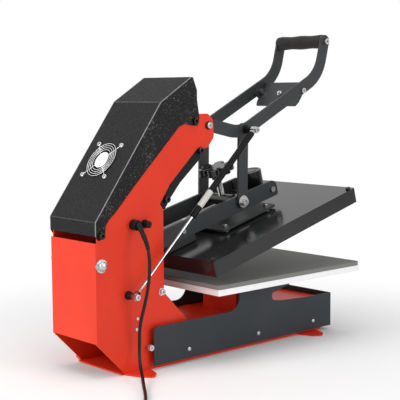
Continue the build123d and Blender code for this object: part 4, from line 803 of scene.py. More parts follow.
@dataclass
class Workshop:
    """Every finish of the machine, the table of what wears it, and the places that several pieces share."""

    materials: dict[str, Material] = field(default_factory=dict)
    spring_foot: Spot = (87.0, 178.5)
    spring_top: Spot = (455.0, 533.0)
    spring_x: float = -109.0
    spring_band: Spot = (0.264, 0.312)
    cover_knee: Spot = (-0.5, 348.0)
    cover_ridge: Spot = (185.0, 602.0)
    cover_crest: Spot = (276.0, 658.0)
    cover_half: float = 86.0
    column_half: float = 84.0
    fan_x: float = 6.6
    fan_up_slope: float = 153.6
    platen_corner: Spot = (246.92, 213.25)
    platen_tilt: float = 15.43
    pad_top: float = 193.0

    SLOT_FINISH = {
        "red_paint": "red_powder_coat",
        "black_texture": "black_wrinkle_coat",
        "black_paint": "black_satin_paint",
        "machined_aluminium": "milled_aluminium",
        "stainless": "polished_stainless",
        "bright_rod": "bright_chrome",
        "grey_silicone": "grey_silicone_sponge",
        "black_plastic": "black_moulding",
        "dark_lens": "smoked_lens",
        "foam": "foam_sleeve",
        "insulation_felt": "needled_felt",
        "cord_rubber": "lead_rubber",
    }
    NODE_FINISH = {
        "heat_platen": "ground_plate",
        "platen_cover": "black_stove_enamel",
        "spring_cylinder": "black_tube_paint",
        "electromagnet": "gloss_black_enamel",
        "armature": "ground_plate",
        "cord_tie": "woven_hook_tape",
        "pressure_knob": "polished_phenolic",
        "platen_shaft": "shaft_steel",
        "platen_screws": "black_oxide",
        "skirt": "blue_black_paint",
        **dict.fromkeys(("slide_outer_rails", "slide_middle_members", "slide_inner_members"), "zinc_plated_steel"),
    }

    def cover_planes(self) -> tuple[tuple[Point, Point], ...]:
        """Find the planes of the rear cover's sheet: upright, slope and top.

        Returns:
            An outward unit normal and a point of each plane.
        """
        knee, ridge, lit_crest = (at(0, *corner) for corner in (self.cover_knee, self.cover_ridge, self.cover_crest))
        planes = [((0.0, 1.0, 0.0), tuple(knee))]
        for low, high in ((knee, ridge), (ridge, lit_crest)):
            run = (high - low) / np.linalg.norm(high - low)
            planes.append(((0.0, float(run[2]), float(-run[1])), tuple(low)))
        return tuple(planes)

    def fan_seat(self) -> tuple[Array, Array, Array]:
        """Find where the fan sits on the cover's slope.

        Returns:
            Direction up the slope, the slope's outward normal, and the fan's middle.
        """
        knee, ridge = at(self.fan_x, *self.cover_knee), at(self.fan_x, *self.cover_ridge)
        run = (ridge - knee) / np.linalg.norm(ridge - knee)
        return run, np.array([0, run[2], -run[1]]), knee + run * self.fan_up_slope * MM

    def platen_axes(self) -> tuple[Array, Array, Array]:
        """Find how the tilted upper platen lies.

        Returns:
            Its lower rear corner, the direction forward along its face, and its normal.
        """
        tilt = math.radians(self.platen_tilt)
        along = np.array([0, -math.cos(tilt), math.sin(tilt)])
        return at(0, *self.platen_corner), along, np.array([0, math.sin(tilt), math.cos(tilt)])

    def finishes(self) -> list[object]:
        """List the finishes, each with its own colours and grain.

        Returns:
            The finishes.
        """
        foot = at(self.spring_x, *self.spring_foot)
        reach = at(self.spring_x, *self.spring_top) - foot
        axis = tuple(float(v) for v in reach / np.linalg.norm(reach))
        fine, sleek, mirror = 0.00003, 0.00001, 0.000004
        return [
            Coating(
                "red_powder_coat", (0.8, 0.042, 0.013), (0.72, 0.033, 0.01), 0.34, 0.1, 0.22, 0.04, 0.0016, 0.00006,
            ),
            Coating(
                "black_satin_paint", (0.034, 0.035, 0.037), (0.044, 0.046, 0.048),
                0.34, 0.14, 0.26, 0.0, 0.0012, 0.00005,
            ),
            Coating(
                "blue_black_paint", (0.026, 0.031, 0.036), (0.034, 0.039, 0.045),
                0.4, 0.14, 0.28, 0.0, 0.0014, 0.00006,
            ),
            Coating(
                "black_stove_enamel", (0.006, 0.0065, 0.007), (0.01, 0.0105, 0.011),
                0.14, 0.05, 0.5, 0.0, 0.003, fine,
            ),
            Coating(
                "gloss_black_enamel", (0.005, 0.005, 0.006), (0.01, 0.01, 0.011), 0.14, 0.06, 0.22, 0.0, 0.002, fine,
            ),
            TexturedCoating(
                "black_wrinkle_coat", (0.009, 0.009, 0.009), (0.022, 0.022, 0.022), (0.3, 0.3, 0.31), (0.3, 0.3, 0.3),
                0.0021, 0.0003, self.cover_planes(), self.cover_half * MM,
            ),
            Metal(
                "milled_aluminium", (0.9, 0.9, 0.91), (0.82, 0.82, 0.83), 0.42, 0.2, Grain.ACROSS, 0.0011, fine, 0.35,
            ),
            Metal("ground_plate", (0.6, 0.6, 0.61), (0.47, 0.46, 0.45), 0.3, 0.2, Grain.FORWARD, 0.001, fine),
            Metal(
                "polished_stainless", (0.66, 0.66, 0.67), (0.46, 0.46, 0.47), 0.14, 0.12, Grain.NONE, 0.0009, sleek,
            ),
            Metal("zinc_plated_steel", (0.6, 0.61, 0.63), (0.46, 0.47, 0.49), 0.3, 0.16, Grain.FORWARD, 0.0014, fine),
            Metal("bright_chrome", (0.5, 0.5, 0.51), (0.4, 0.4, 0.41), 0.08, 0.05, Grain.NONE, 0.002, mirror),
            Metal(
                "white_nickel_wire", (0.93, 0.93, 0.94), (0.86, 0.86, 0.87),
                0.22, 0.1, Grain.NONE, 0.002, mirror, 0.6,
            ),
            Metal("black_oxide", (0.03, 0.03, 0.031), (0.06, 0.06, 0.062), 0.24, 0.14, Grain.NONE, 0.001, sleek),
            BrightEndedSteel("shaft_steel", (0.1, 0.098, 0.095), (0.66, 0.66, 0.66), 0.0735),
            SkinnedSponge(
                "grey_silicone_sponge", (0.135, 0.135, 0.125), (0.16, 0.16, 0.15), (0.25, 0.25, 0.24),
                self.pad_top * MM,
            ),
            Moulded("black_moulding", (0.006, 0.006, 0.007), (0.012, 0.012, 0.013), 0.34, 0.0006, fine, 0.0, 0.16),
            Moulded(
                "polished_phenolic", (0.005, 0.005, 0.006), (0.009, 0.009, 0.01), 0.1, 0.0012, 0.000008, 0.0, 0.5,
            ),
            Moulded("foam_sleeve", (0.018, 0.017, 0.016), (0.036, 0.034, 0.031), 0.84, 0.0013, 0.0003, 0.12, 0.15),
            Moulded("lead_rubber", (0.007, 0.007, 0.008), (0.013, 0.013, 0.014), 0.24, 0.0009, 0.00002, 0.0, 0.24),
            Moulded("woven_hook_tape", (0.014, 0.014, 0.015), (0.032, 0.032, 0.033), 0.8, 0.0008, 0.0003, 0.2, 0.2),
            Moulded("pale_mark_ink", (0.6, 0.6, 0.58), (0.52, 0.52, 0.5), 0.5, 0.0009, 0.00002),
            Felt("needled_felt", (0.66, 0.63, 0.55), (0.5, 0.47, 0.4)),
            Lens("smoked_lens", (0.006, 0.007, 0.01), (0.02, 0.022, 0.026)),
            BandedPaint(
                "black_tube_paint", (0.004, 0.004, 0.005), (0.007, 0.007, 0.008), (0.62, 0.62, 0.6),
                axis, tuple(float(v) for v in foot), self.spring_band, 0.5, (0.6, 0.6, 0.61),
            ),
        ]

    def open(self) -> None:
        """Make every material."""
        for finish in self.finishes():
            self.materials[finish.name] = finish.make()
            LOG.info("finish %s", finish.name)

    def dress_nodes(self) -> None:
        """Give each solid that stays in view the finish of its slot, or its own."""
        slots = {row["node"]: row["material_slot"] for row in frame["record"]["subparts"]}
        for name, node in frame["nodes"].items():
            finish = self.NODE_FINISH.get(name, self.SLOT_FINISH[slots[name]])
            node.data.materials.clear()
            node.data.materials.append(self.materials[finish])
            LOG.info("node %s wears %s", name, finish)

    def wear(self, piece: Object, slot: str, finish: str | None = None) -> None:
        """Give a new piece its finish.

        Args:
            piece: The new piece.
            slot: The record's material slot.
            finish: Name of a finish, where it isn't the slot's own.
        """
        piece.data.materials.clear()
        piece.data.materials.append(self.materials[finish or self.SLOT_FINISH[slot]])

    def add(
        self, name: str, skin: Skin, body: str, slot: str, replaces: str = "", finish: str | None = None,
        sharp: float = 30.0,
    ) -> Object:
        """Put a skin into a finished mesh object that rides a body.

        Args:
            name: Name of the piece.
            skin: Its surface.
            body: Body it moves with.
            slot: The record's material slot.
            replaces: Node whose place it takes, if any.
            finish: Finish, where it isn't the slot's own.
            sharp: Edges sharper than this in degrees stay crisp.

        Returns:
            The piece.
        """
        mesh = bpy.data.meshes.new(name)
        mesh.from_pydata(skin.points.tolist(), [], skin.quads.tolist() + skin.tris.tolist())
        mesh.validate()
        mesh.shade_smooth()
        mesh.set_sharp_from_angle(angle=math.radians(sharp))
        piece = stand(name, mesh)
        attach(piece, body)
        self.wear(piece, slot, finish)
        if replaces:
            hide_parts(replaces)
        LOG.info("piece %s: %d points on %s", name, len(skin.points), body)
        return piece


@dataclass(frozen=True)
class Viewpoint:
    """The photographer's camera."""

    place: Point = (-1.8636, 1.67695, 0.6270)
    aim: Point = (-0.0937, 0.08565, 0.3752)
    roll: float = -0.37
    lens: float = 93.2
    sensor: float = 36.0
    farthest: float = 50.0

    def build(self) -> None:
        """Make the camera: back points from the aim to the place, and the picture leans by the roll."""
        back = (Vector(self.place) - Vector(self.aim)).normalized()
        level = Vector((0, 0, 1)).cross(back).normalized()
        upright = back.cross(level)
        lean = math.radians(self.roll)
        right = level * math.cos(lean) + upright * math.sin(lean)
        up = upright * math.cos(lean) - level * math.sin(lean)
        camera = bpy.data.cameras.new("camera")
        camera.lens = self.lens
        camera.sensor_width = self.sensor
        camera.clip_end = self.farthest
        holder = stand("camera", camera)
        holder.matrix_world = Matrix.Translation(self.place) @ Matrix((right, up, back)).transposed().to_4x4()
        bpy.context.scene.camera = holder
        LOG.info("camera at %s", self.place)


@dataclass(frozen=True)
class Lamp:
    """A softbox: where it hangs, what it looks at, how wide it is and how much light it gives at its aim."""

    name: str
    place: Point
    aim: Point
    size: float
    level: float

    def build(self) -> None:
        """Hang the lamp; its power is pi squared times the square of its distance times the level it gives."""
        light = bpy.data.lights.new(self.name, "AREA")
        light.shape = "DISK"
        light.size = self.size
        reach = Vector(self.aim) - Vector(self.place)
        light.energy = self.level * math.pi**2 * reach.length_squared
        holder = stand(self.name, light)
        holder.matrix_world = Matrix.Translation(self.place) @ reach.to_track_quat("-Z", "Y").to_matrix().to_4x4()
        LOG.info("lamp %s", self.name)


@dataclass
class Studio:
    """Pale floor, white surround and three softboxes; mirrored is how near to white reflections see the surround."""

    ambient: float = 0.5
    mirrored: float = 0.86
    floor_half: float = 14.0
    floor_colour: Colour = (0.9, 0.9, 0.9)
    fade: Spot = (0.35, 1.1)
    lamps: tuple[Lamp, ...] = (
        Lamp("rear_softbox", (0.5, 3.1, 1.7), (0.0, 0.2, 0.3), 1.8, 0.58),
        Lamp("top_softbox", (-0.5, 0.3, 3.2), (0.0, 0.0, 0.3), 2.2, 0.34),
        Lamp("side_softbox", (-3.2, -0.9, 1.3), (0.0, -0.1, 0.35), 1.6, 0.27),
    )

    def build(self) -> None:
        """Make the floor, the surround and the lamps."""
        self.lay_floor()
        self.surround()
        for lamp in self.lamps:
            lamp.build()

    def lay_floor(self) -> None:
        """A square floor that fades to plain white far from the object, so that no horizon shows."""
        half = self.floor_half
        mesh = bpy.data.meshes.new("floor")
        mesh.from_pydata([(-half, -half, 0), (half, -half, 0), (half, half, 0), (-half, half, 0)], [], [(0, 1, 2, 3)])
        stand("floor", mesh)
        recipe = Recipe("floor")
        length = recipe.node(Kind.VECTOR, {"operation": "LENGTH"}, {0: recipe.place})
        far = Term(recipe, length.outputs["Value"]).rise(*self.fade)
        seen = Term(recipe, recipe.node(Kind.RAYS).outputs["Is Camera Ray"])
        recipe.finished((*self.floor_colour, 1), 0.9)
        faces = {0: far * seen, 1: recipe.shader.outputs[0], 2: recipe.node(Kind.GLOW).outputs[0]}
        blend = recipe.node(Kind.BLEND, None, faces)
        recipe.feed(recipe.tree.nodes["Material Output"].inputs["Surface"], blend.outputs[0])
        mesh.materials.append(recipe.material)

    def surround(self) -> None:
        """A white surround to the camera, nearly white in reflections, and softer as light."""
        world = bpy.data.worlds.new("surround")
        bpy.context.scene.world = world
        recipe = Recipe("surround", world)
        rays, shown = recipe.node(Kind.RAYS).outputs, 0.0
        for name, share in (("Is Camera Ray", 1.0), ("Is Glossy Ray", self.mirrored), ("Is Transmission Ray", 1.0)):
            shown = recipe.maths("MAXIMUM", shown, Term(recipe, rays[name]) * share)
        back = recipe.tree.nodes["Background"].inputs
        back["Color"].default_value = (1, 1, 1, 1)
        recipe.feed(back["Strength"], shown * (1 - self.ambient) + self.ambient)


@dataclass
class MainsLead:
    """Power lead from the gland on the near plate, down to the floor, into a tied coil that ends in a plug."""

    shop: Workshop
    diameter: float = 7.5
    length: float = 1.809
    route: tuple[Point, ...] = (
        (-119, 104, 314), (-134, 104, 294), (-140, 104, 258), (-135, 106, 216), (-123, 104, 165), (-110, 98, 115),
        (-106.5, 99.5, 80), (-107.5, 98, 56), (-113, 94, 40), (-124, 87, 27), (-138.5, 78, 18), (-160, 64, 12.5),
        (-193, 40, 7.5), (-232, 13, 5), (-268, -15, 5), (-305, -46, 5), (-333, -75, 5), (-345, -97, 5),
    )
    coil_mean: float = 45.0
    coil_turns: float = 4.25
    coil_pitch: float = 8.3
    coil_lead: float = 22.5
    per_turn: int = 24
    sleeve_length: float = 0.034
    sleeve_radii: Spot = (0.0056, 0.0043)
    ribs: int = 7
    rib_height: float = 0.00045
    plug_neck: float = 22.0
    plug_size: Point = (27.0, 24.0, 30.0)
    pin: Spot = (2.4, 19.0)
    pins_at: tuple[Spot, ...] = ((0, 5), (-6.5, -4), (6.5, -4))

    def coil(self) -> Array:
        """Points of the coil: a spiral that winds in, climbs one layer at half way and winds out again.

        Returns:
            Array of points by 3, the last one on the straight lead to the plug.
        """
        end = at(*self.route[-1])
        heading = end - at(*self.route[-2])
        heading /= np.linalg.norm(heading)
        pitch, turns = self.coil_pitch * MM, self.coil_turns
        outer = self.coil_mean * MM + pitch * turns / 4
        slant = math.atan2(pitch, 2 * math.pi * outer)
        outward = self.turned(heading, math.pi / 2 + slant)
        centre = end + heading * self.diameter * MM - outward * outer
        t = np.linspace(0, turns, round(turns * self.per_turn) + 1)
        past = t - turns / 2
        radius = outer - pitch * (turns / 2 - np.abs(past))
        share = np.clip(2 * past + 0.5, 0, 1)
        angle = -2 * math.pi * t
        points = centre + radius[:, None] * np.column_stack([
            outward[0] * np.cos(angle) - outward[1] * np.sin(angle),
            outward[0] * np.sin(angle) + outward[1] * np.cos(angle),
            np.zeros_like(t),
        ])
        points[:, 2] += pitch * share**2 * (3 - 2 * share)
        last = points[-1] - points[-2]
        leaving = self.turned(last / np.linalg.norm(last), -math.pi / self.per_turn)
        return np.vstack([points, points[-1] + leaving * self.coil_lead * MM])

    @staticmethod
    def turned(vector: Array, angle: float) -> Array:
        """A vector turned about Z by an angle in radians."""
        c, s = math.cos(angle), math.sin(angle)
        return np.array([vector[0] * c - vector[1] * s, vector[0] * s + vector[1] * c, vector[2]])

    def lay(self) -> tuple[Object, Array]:
        """Make the lead: one NURBS curve over its control points, its line read back, its round skin as a mesh.

        Returns:
            The lead, and the points of its line.
        """
        points = np.vstack([np.array([at(*place) for place in self.route]), self.coil()])
        curve = bpy.data.curves.new("mains_lead", "CURVE")
        curve.dimensions = "3D"
        curve.resolution_u = 6
        curve.render_resolution_u = 6
        spline = curve.splines.new("NURBS")
        spline.points.add(len(points) - 1)
        spline.points.foreach_set("co", np.column_stack([points, np.ones(len(points))]).ravel())
        spline.order_u = 3
        spline.use_endpoint_u = True
        drawn = stand("lead_line", curve)
        plain = self.meshed(drawn)
        line = np.array([vertex.co[:] for vertex in plain.vertices])
        bpy.data.meshes.remove(plain)
        curve.bevel_depth = self.diameter / 2 * MM
        curve.bevel_resolution = 5
        curve.use_fill_caps = True
        skin = self.meshed(drawn)
        skin.name = "mains_lead"
        skin.shade_smooth()
        skin.set_sharp_from_angle(angle=math.radians(50))
        bpy.data.objects.remove(drawn)
        return stand("mains_lead", skin), line

    @staticmethod
    def meshed(drawn: Object) -> bpy.types.Mesh:
        """A mesh of a curve object as it stands."""
        bpy.context.view_layer.update()
        return bpy.data.meshes.new_from_object(drawn.evaluated_get(bpy.context.evaluated_depsgraph_get()))

    def sleeve(self, line: Array) -> Object:
        """Tapered strain relief with soft ribs, rings square to the lead's line.

        Args:
            line: Points of the lead's line.

        Returns:
            The sleeve.
        """
        steps = np.linalg.norm(np.diff(line, axis=0), axis=1)
        reach = np.concatenate([[0], np.cumsum(steps)])
        share = np.linspace(0, 1, 57)
        centre = np.column_stack([np.interp(share * self.sleeve_length, reach, line[:, k]) for k in range(3)])
        way = np.gradient(centre, axis=0)
        way /= np.linalg.norm(way, axis=1)[:, None]
        u = np.cross(way, [0, 1.0, 0])
        u /= np.linalg.norm(u, axis=1)[:, None]
        v = np.cross(way, u)
        rib = self.rib_height * np.clip(np.sin(share * 2 * math.pi * self.ribs), -0.6, 1) * (share < 0.94)
        wide, narrow = self.sleeve_radii
        radius = (wide * (1 - share) + narrow * share + rib)[:, None]
        angles = circle(28)
        around = np.cos(angles)[None, :, None] * u[:, None] + np.sin(angles)[None, :, None] * v[:, None]
        skin = tube(centre[:, None] + radius[:, :, None] * around)
        return self.shop.add("lead_sleeve", skin, "base", "black_plastic", sharp=35)

    def plug(self, line: Array) -> list[Object]:
        """Moulded plug on the lead's end: a swelling neck, a body with finger ribs and three round pins.

        Args:
            line: Points of the lead's line.

        Returns:
            The plug's body and its pins.
        """
        tail = line[-1]
        way = line[-1] - line[-3]
        way /= np.linalg.norm(way)
        side = np.array([-way[1], way[0], 0])
        side /= np.linalg.norm(side)
        top = np.cross(way, side)
        wide, high, deep = self.plug_size
        start, end = self.plug_neck, self.plug_neck + deep
        along = np.concatenate([
            np.linspace(0, start - 1, 12), start + 3 * (1 - np.cos(np.linspace(0.2, math.pi / 2, 6))),
            np.linspace(start + 4, end - 2, 25), end - 2 + 2 * np.sin(np.linspace(0.25, math.pi / 2, 6)),
        ])
        neck = self.diameter / 2 + 1 + 2.5 * along / start
        swell = np.clip((along - start + 1) / 4, 0, 1) ** 0.5
        inset = np.where(along > end - 2, 2 - 2 * np.sqrt(np.clip(1 - ((along - end + 2) / 2) ** 2, 0, 1)), 0)
        ribbed = (along > start + 5) * (along < end - 6)
        rib = 0.5 * np.clip(np.sin((along - start - 4) * QUARTER), 0, 1) * ribbed
        half_w = np.where(along < start, neck, neck * (1 - swell) + wide / 2 * swell) - inset - rib
        half_h = np.where(along < start, neck, neck * (1 - swell) + high / 2 * swell) - inset
        angles = circle(64)
        power = (2 / np.where(along < start, 2.0, 2 + 2.2 * swell))[:, None]
        cos, sin = np.cos(angles)[None], np.sin(angles)[None]
        across = half_w[:, None] * np.sign(cos) * np.abs(cos) ** power
        upward = half_h[:, None] * np.sign(sin) * np.abs(sin) ** power
        rings = tail + MM * (along[:, None, None] * way + across[:, :, None] * side + upward[:, :, None] * top)
        body = self.shop.add("plug_body", tube(rings), "base", "black_plastic", "plug", sharp=40)
        radius, length = self.pin
        tip = arc((length - radius, 0), radius, 90, 5, 7)
        shape = ([(-0.5, radius + 0.7), (1.2, radius + 0.7), (1.4, radius), *tip], None)
        skins = [lathe(shape, tail + MM * (end * way + a * side + b * top), way, 28) for a, b in self.pins_at]
        return [body, self.shop.add("plug_pins", Skin.joined(skins), "base", "stainless", sharp=35)]

    def build(self) -> None:
        lead, line = self.lay()
        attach(lead, "base")
        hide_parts("power_cord", "cord_coil")
        self.shop.wear(lead, "cord_rubber")
        others = [self.sleeve(line), *self.plug(line), "cord_tie"]
        LOG.info("lead: %.3f m", np.linalg.norm(np.diff(line, axis=0), axis=1).sum())


@dataclass
class LowerPlaten:
    """Silicone sponge pad on the drawer's aluminium plate."""

    shop: Workshop
    half_x: float = 197.5
    rear: float = 255.5
    front: float = 743.5
    low: float = 182.6
    corner: float = 8.0
    edge: float = 1.3
    wave: float = 0.00008
    insets: tuple[float, ...] = (0.01, 0.03, 0.06, 0.1, 0.15, 0.19)

    def build(self) -> None:
        """Make the pad: cut sides that draw in a little half way up, rolled edges and a nearly flat top."""
        thick = (self.shop.pad_top - self.low) * MM
        edge, slack = self.edge * MM, self.wave
        levels = [(self.insets[-1], 0.0), (edge, 0.0), (0.0003, 0.0003), (0.0, 0.0012), (0.0004, thick * 0.5)]
        levels.append((0.0001, thick - slack - edge - 0.0006))
        turn = np.linspace(0, QUARTER, 6)
        levels += [(edge - edge * math.cos(a), thick - slack - edge + edge * math.sin(a)) for a in turn]
        levels += [(inset, thick - slack) for inset in self.insets]
        centre = at(0, (self.rear + self.front) / 2, self.low)
        half = (self.half_x * MM, (self.front - self.rear) / 2 * MM)
        skin = slab(half, self.corner * MM, levels, Matrix.Translation(centre), self.wave)
        skin.points[:, 2] = np.maximum(skin.points[:, 2], centre[2])
        pad = self.shop.add("pressing_pad", skin, "carriage", "grey_silicone", "silicone_pad", sharp=35)


@dataclass
class UpperPlaten:
    """Felt blanket between the heated plate and its cover."""

    shop: Workshop
    half: Spot = (195.5, 245.5)
    length: float = 500.0
    low: float = 16.0
    high: float = 28.0
    corner: float = 0.006
    wave: float = 0.0005
    insets: tuple[float, ...] = (0.004, 0.02, 0.05, 0.1, 0.15, 0.19)

    def build(self) -> None:
        """Make the blanket in a frame square to the tilted face: bulging sides and a slightly wavy top."""
        start, along, normal = self.shop.platen_axes()
        middle = start + (self.length / 2 * along + self.low * normal) * MM
        turn = Matrix((Vector((1, 0, 0)), Vector(-along), Vector(normal))).transposed()
        thick = (self.high - self.low) * MM
        levels = [(self.insets[-1], 0.0002), (self.insets[0], 0.0002), (0.001, 0.0012), (0.0, thick * 0.5)]
        levels += [(0.001, thick - 0.0022), *((inset, thick - 0.001) for inset in self.insets)]
        half = (self.half[0] * MM, self.half[1] * MM)
        skin = slab(half, self.corner, levels, Matrix.Translation(middle) @ turn.to_4x4(), self.wave)
        felt = self.shop.add("insulation_blanket", skin, "platen", "insulation_felt", "platen_insulation", sharp=35)


@dataclass
class HandleGrip:
    """Foam sleeve on the handle's rod."""

    shop: Workshop
    axis: Spot = (741.0, 750.0)
    half: float = 72.7
    bore: float = 8.1
    full: float = 17.88
    waist: float = 16.48
    lip: float = 2.2
    waves: float = 2.05
    sides: int = 64
    steps: int = 61

    def radius(self, x: Array) -> Array:
        """Outer radius: (full + waist)/2 + (full - waist)/2 cos(2 pi waves x / length), two shallow waists."""
        mean, swing = (self.full + self.waist) / 2, (self.full - self.waist) / 2
        return mean + swing * np.cos(2 * math.pi * self.waves * x / (2 * self.half))

    def build(self) -> None:
        """Make the sleeve as a ring-shaped skin: bore, rolled end, waisted outside, rolled end."""
        turn = np.linspace(0, QUARTER, 7)
        lip, reach = self.lip, self.half - self.lip
        near, far = -reach - lip * np.cos(turn[:-1]), reach + lip * np.sin(turn[1:])
        x = np.concatenate([near, np.linspace(-reach, reach, self.steps), far])
        rolled = lip * (1 - np.sin(turn[:-1])), lip * (1 - np.cos(turn[1:]))
        fall = np.concatenate([rolled[0], np.zeros(self.steps), rolled[1]])
        ends = [(self.half, self.bore), (-self.half, self.bore)]
        rows = np.concatenate([np.column_stack([x, self.radius(x) - fall]), ends]) * MM
        angles = circle(self.sides)
        around = [rows[:, 1:] * np.cos(angles)[None], rows[:, 1:] * np.sin(angles)[None]]
        rings = np.stack([np.repeat(rows[:, :1], self.sides, 1), *around], -1) + at(0, *self.axis)
        grip = self.shop.add("grip_sleeve", tube(rings, endless=True), "handle", "foam", "grip", sharp=60)


@dataclass
class PressureScrew:
    """Threaded spindle between the collar and the knob."""

    shop: Workshop
    setback: float = 236.2
    foot: float = 46.3
    head: float = 166.0
    radius: float = 7.98
    depth: float = 0.95
    pitch: float = 2.0
    plain: float = 13.0

    def build(self) -> None:
        """Make the screw: radius falls by the depth times a triangle wave of height / pitch - turn."""
        corner, along, normal = self.shop.platen_axes()
        origin = corner + self.setback * MM * along
        angles = circle(40)
        height = np.arange(self.foot, self.head + 0.01, self.pitch / 5)
        phase = (height[:, None] / self.pitch - angles[None] / (2 * math.pi)) % 1
        cut = (height > self.foot + self.plain)[:, None] * (1 - np.abs(2 * phase - 1))
        radius = (self.radius - self.depth * cut)[:, :, None]
        rings = origin + MM * (height[:, None, None] * normal + radius * spokes(normal, angles)[None])
        self.shop.add("threaded_screw", tube(rings), "knob", "stainless", "spindle", sharp=50)


@dataclass
class ArmShaft:
    """Shaft of the lifting arms, with a washer, a chamfered hexagon and a dome on each end."""

    shop: Workshop
    axis: Spot = (15.0, 252.0)
    radius: float = 7.0
    washer: float = 15.0
    hexagon: float = 12.0
    hex_top: float = 7.4
    dome: float = 9.8
    height: float = 13.0

    def build(self) -> None:
        """Make the shaft and its nuts; a cone cuts the hexagon's corners and the dome is half an ellipse."""
        half, top = self.shop.column_half, self.hex_top
        bar = [(-half, self.radius), (half, self.radius)]
        rows = [(0, 14.4), (0, self.washer), (0.3, self.washer), (1.7, self.washer), (2, 14.5), (2, 10.9)]
        rows += [(2.7, self.hexagon), (top - 0.8, self.hexagon), (top, 10.6)]
        turn = np.linspace(0.12, QUARTER - 0.05, 12)
        rows += [(top + (self.height - top) * math.sin(a), self.dome * math.cos(a)) for a in turn]
        hexes = [row in (6, 7) for row in range(len(rows))]
        skins = [lathe((bar, None), at(0, *self.axis), np.array([1.0, 0, 0]), 32)]
        skins += outwards((rows, hexes), half, [self.axis], 72)
        self.shop.add("domed_arm_shaft", Skin.joined(skins), "base", "stainless", "arm_pivot_shaft", sharp=28)


def capped_bolt(shank: float, depth: float, head: Spot, washer: Spot = (0.0, 0.0)) -> Shape:
    """Profile of a bolt: shank below 0, an optional washer, and a head with broken edges and a hexagonal socket.

    Args:
        shank: Radius of the shank.
        depth: Length of the shank below the face that it sits on.
        head: Radius and height of the head.
        washer: Radius and thickness of the washer, 0 for none.

    Returns:
        The (along, radius) rows, and for each whether it is hexagonal.
    """
    radius, height = head
    rows = [(-depth, shank), (0, shank)]
    if washer[0] > 0:
        rows += [(0, washer[0] - 0.2), (0.2, washer[0]), (washer[1] - 0.2, washer[0]), (washer[1], washer[0] - 0.2)]
    base, top, edge = washer[1], washer[1] + height, min(0.12 * radius, 0.3 * height)
    rows += [(base, shank), (base, radius), *arc((base + height - edge, radius - edge), edge, 90, 0, 5)]
    socket = [(top, 0.58 * radius), (top - 0.06 * height, 0.5 * radius), (top - 0.58 * height, 0.5 * radius)]
    return rows + socket, [False] * len(rows) + [True] * len(socket)


@dataclass
class NeckFasteners:
    """Screws and bolts of the column and neck: black cap screws on the cover, bright ones elsewhere, both sides."""

    shop: Workshop
    cover_ears: tuple[Spot, ...] = ((14.0, 318.0), (286.0, 557.0))
    channel_ears: tuple[Spot, ...] = ((303.0, 489.0), (200.0, 383.0))
    small: tuple[Spot, ...] = ((112.0, 122.0), (109.0, 98.6))
    column_bolt: Spot = (183.0, 173.6)
    head_pivot: Spot = (329.0, 546.0)
    plate: float = 4.0
    cap: Spot = (7.6, 7.0)
    ring: Rows = ((0, 6.2), (0, 9.2), (0.3, 9.5), (2.3, 9.5), (2.6, 9.2), (2.6, 6.2))
    fan_screws: float = 82.5
    fan_plate: float = 4.0
    thread: float = 2.5

    def fan_bolts(self) -> list[Skin]:
        """Shape the four screws that hold the fan and its guard, square to the slope.

        Returns:
            The screws.
        """
        run, normal, seat = self.shop.fan_seat()
        middle = seat + normal * self.fan_plate * MM
        half = self.fan_screws / 2 * MM
        shape = capped_bolt(self.thread, 14.0, (4.0, 2.0))
        return [
            lathe(shape, middle + np.array([a * half, 0, 0]) + b * half * run, normal, 36)
            for a in (-1, 1) for b in (-1, 1)
        ]

    def build(self) -> None:
        """Make the black cap screws, the bright bolts, and the handle's pivot with its dark washers."""
        half, pivot = self.shop.column_half, [self.head_pivot]
        black = outwards(capped_bolt(self.thread, 6.0, self.cap), self.shop.cover_half, self.cover_ears)
        black += outwards(capped_bolt(self.thread, 6.2, self.cap), half, self.channel_ears)
        bright = outwards(capped_bolt(self.thread, self.plate, (3.5, 2.0)), half, self.small)
        bright += outwards(capped_bolt(self.thread, self.plate, (6.5, 6.0), (9.0, 1.2)), half, [self.column_bolt])
        bolt = outwards(capped_bolt(6.0, half - 0.1, (7.4, 5.4), (0.0, 2.6)), half, pivot)
        rings = outwards((self.ring, None), half, pivot)
        dark, plain = ("black_plastic", "black_oxide"), ("stainless", None)
        for name, skins, replaced, (slot, finish) in (
            ("cover_cap_screws", black, "housing_screws", dark),
            ("column_bolts", bright + self.fan_bolts(), "housing_screws", plain),
            ("head_pivot_bolt", bolt, "head_pivot_shaft", plain),
            ("head_pivot_washers", rings, "head_pivot_shaft", dark),
        ):
            self.shop.add(name, Skin.joined(skins), "base", slot, replaced, finish)


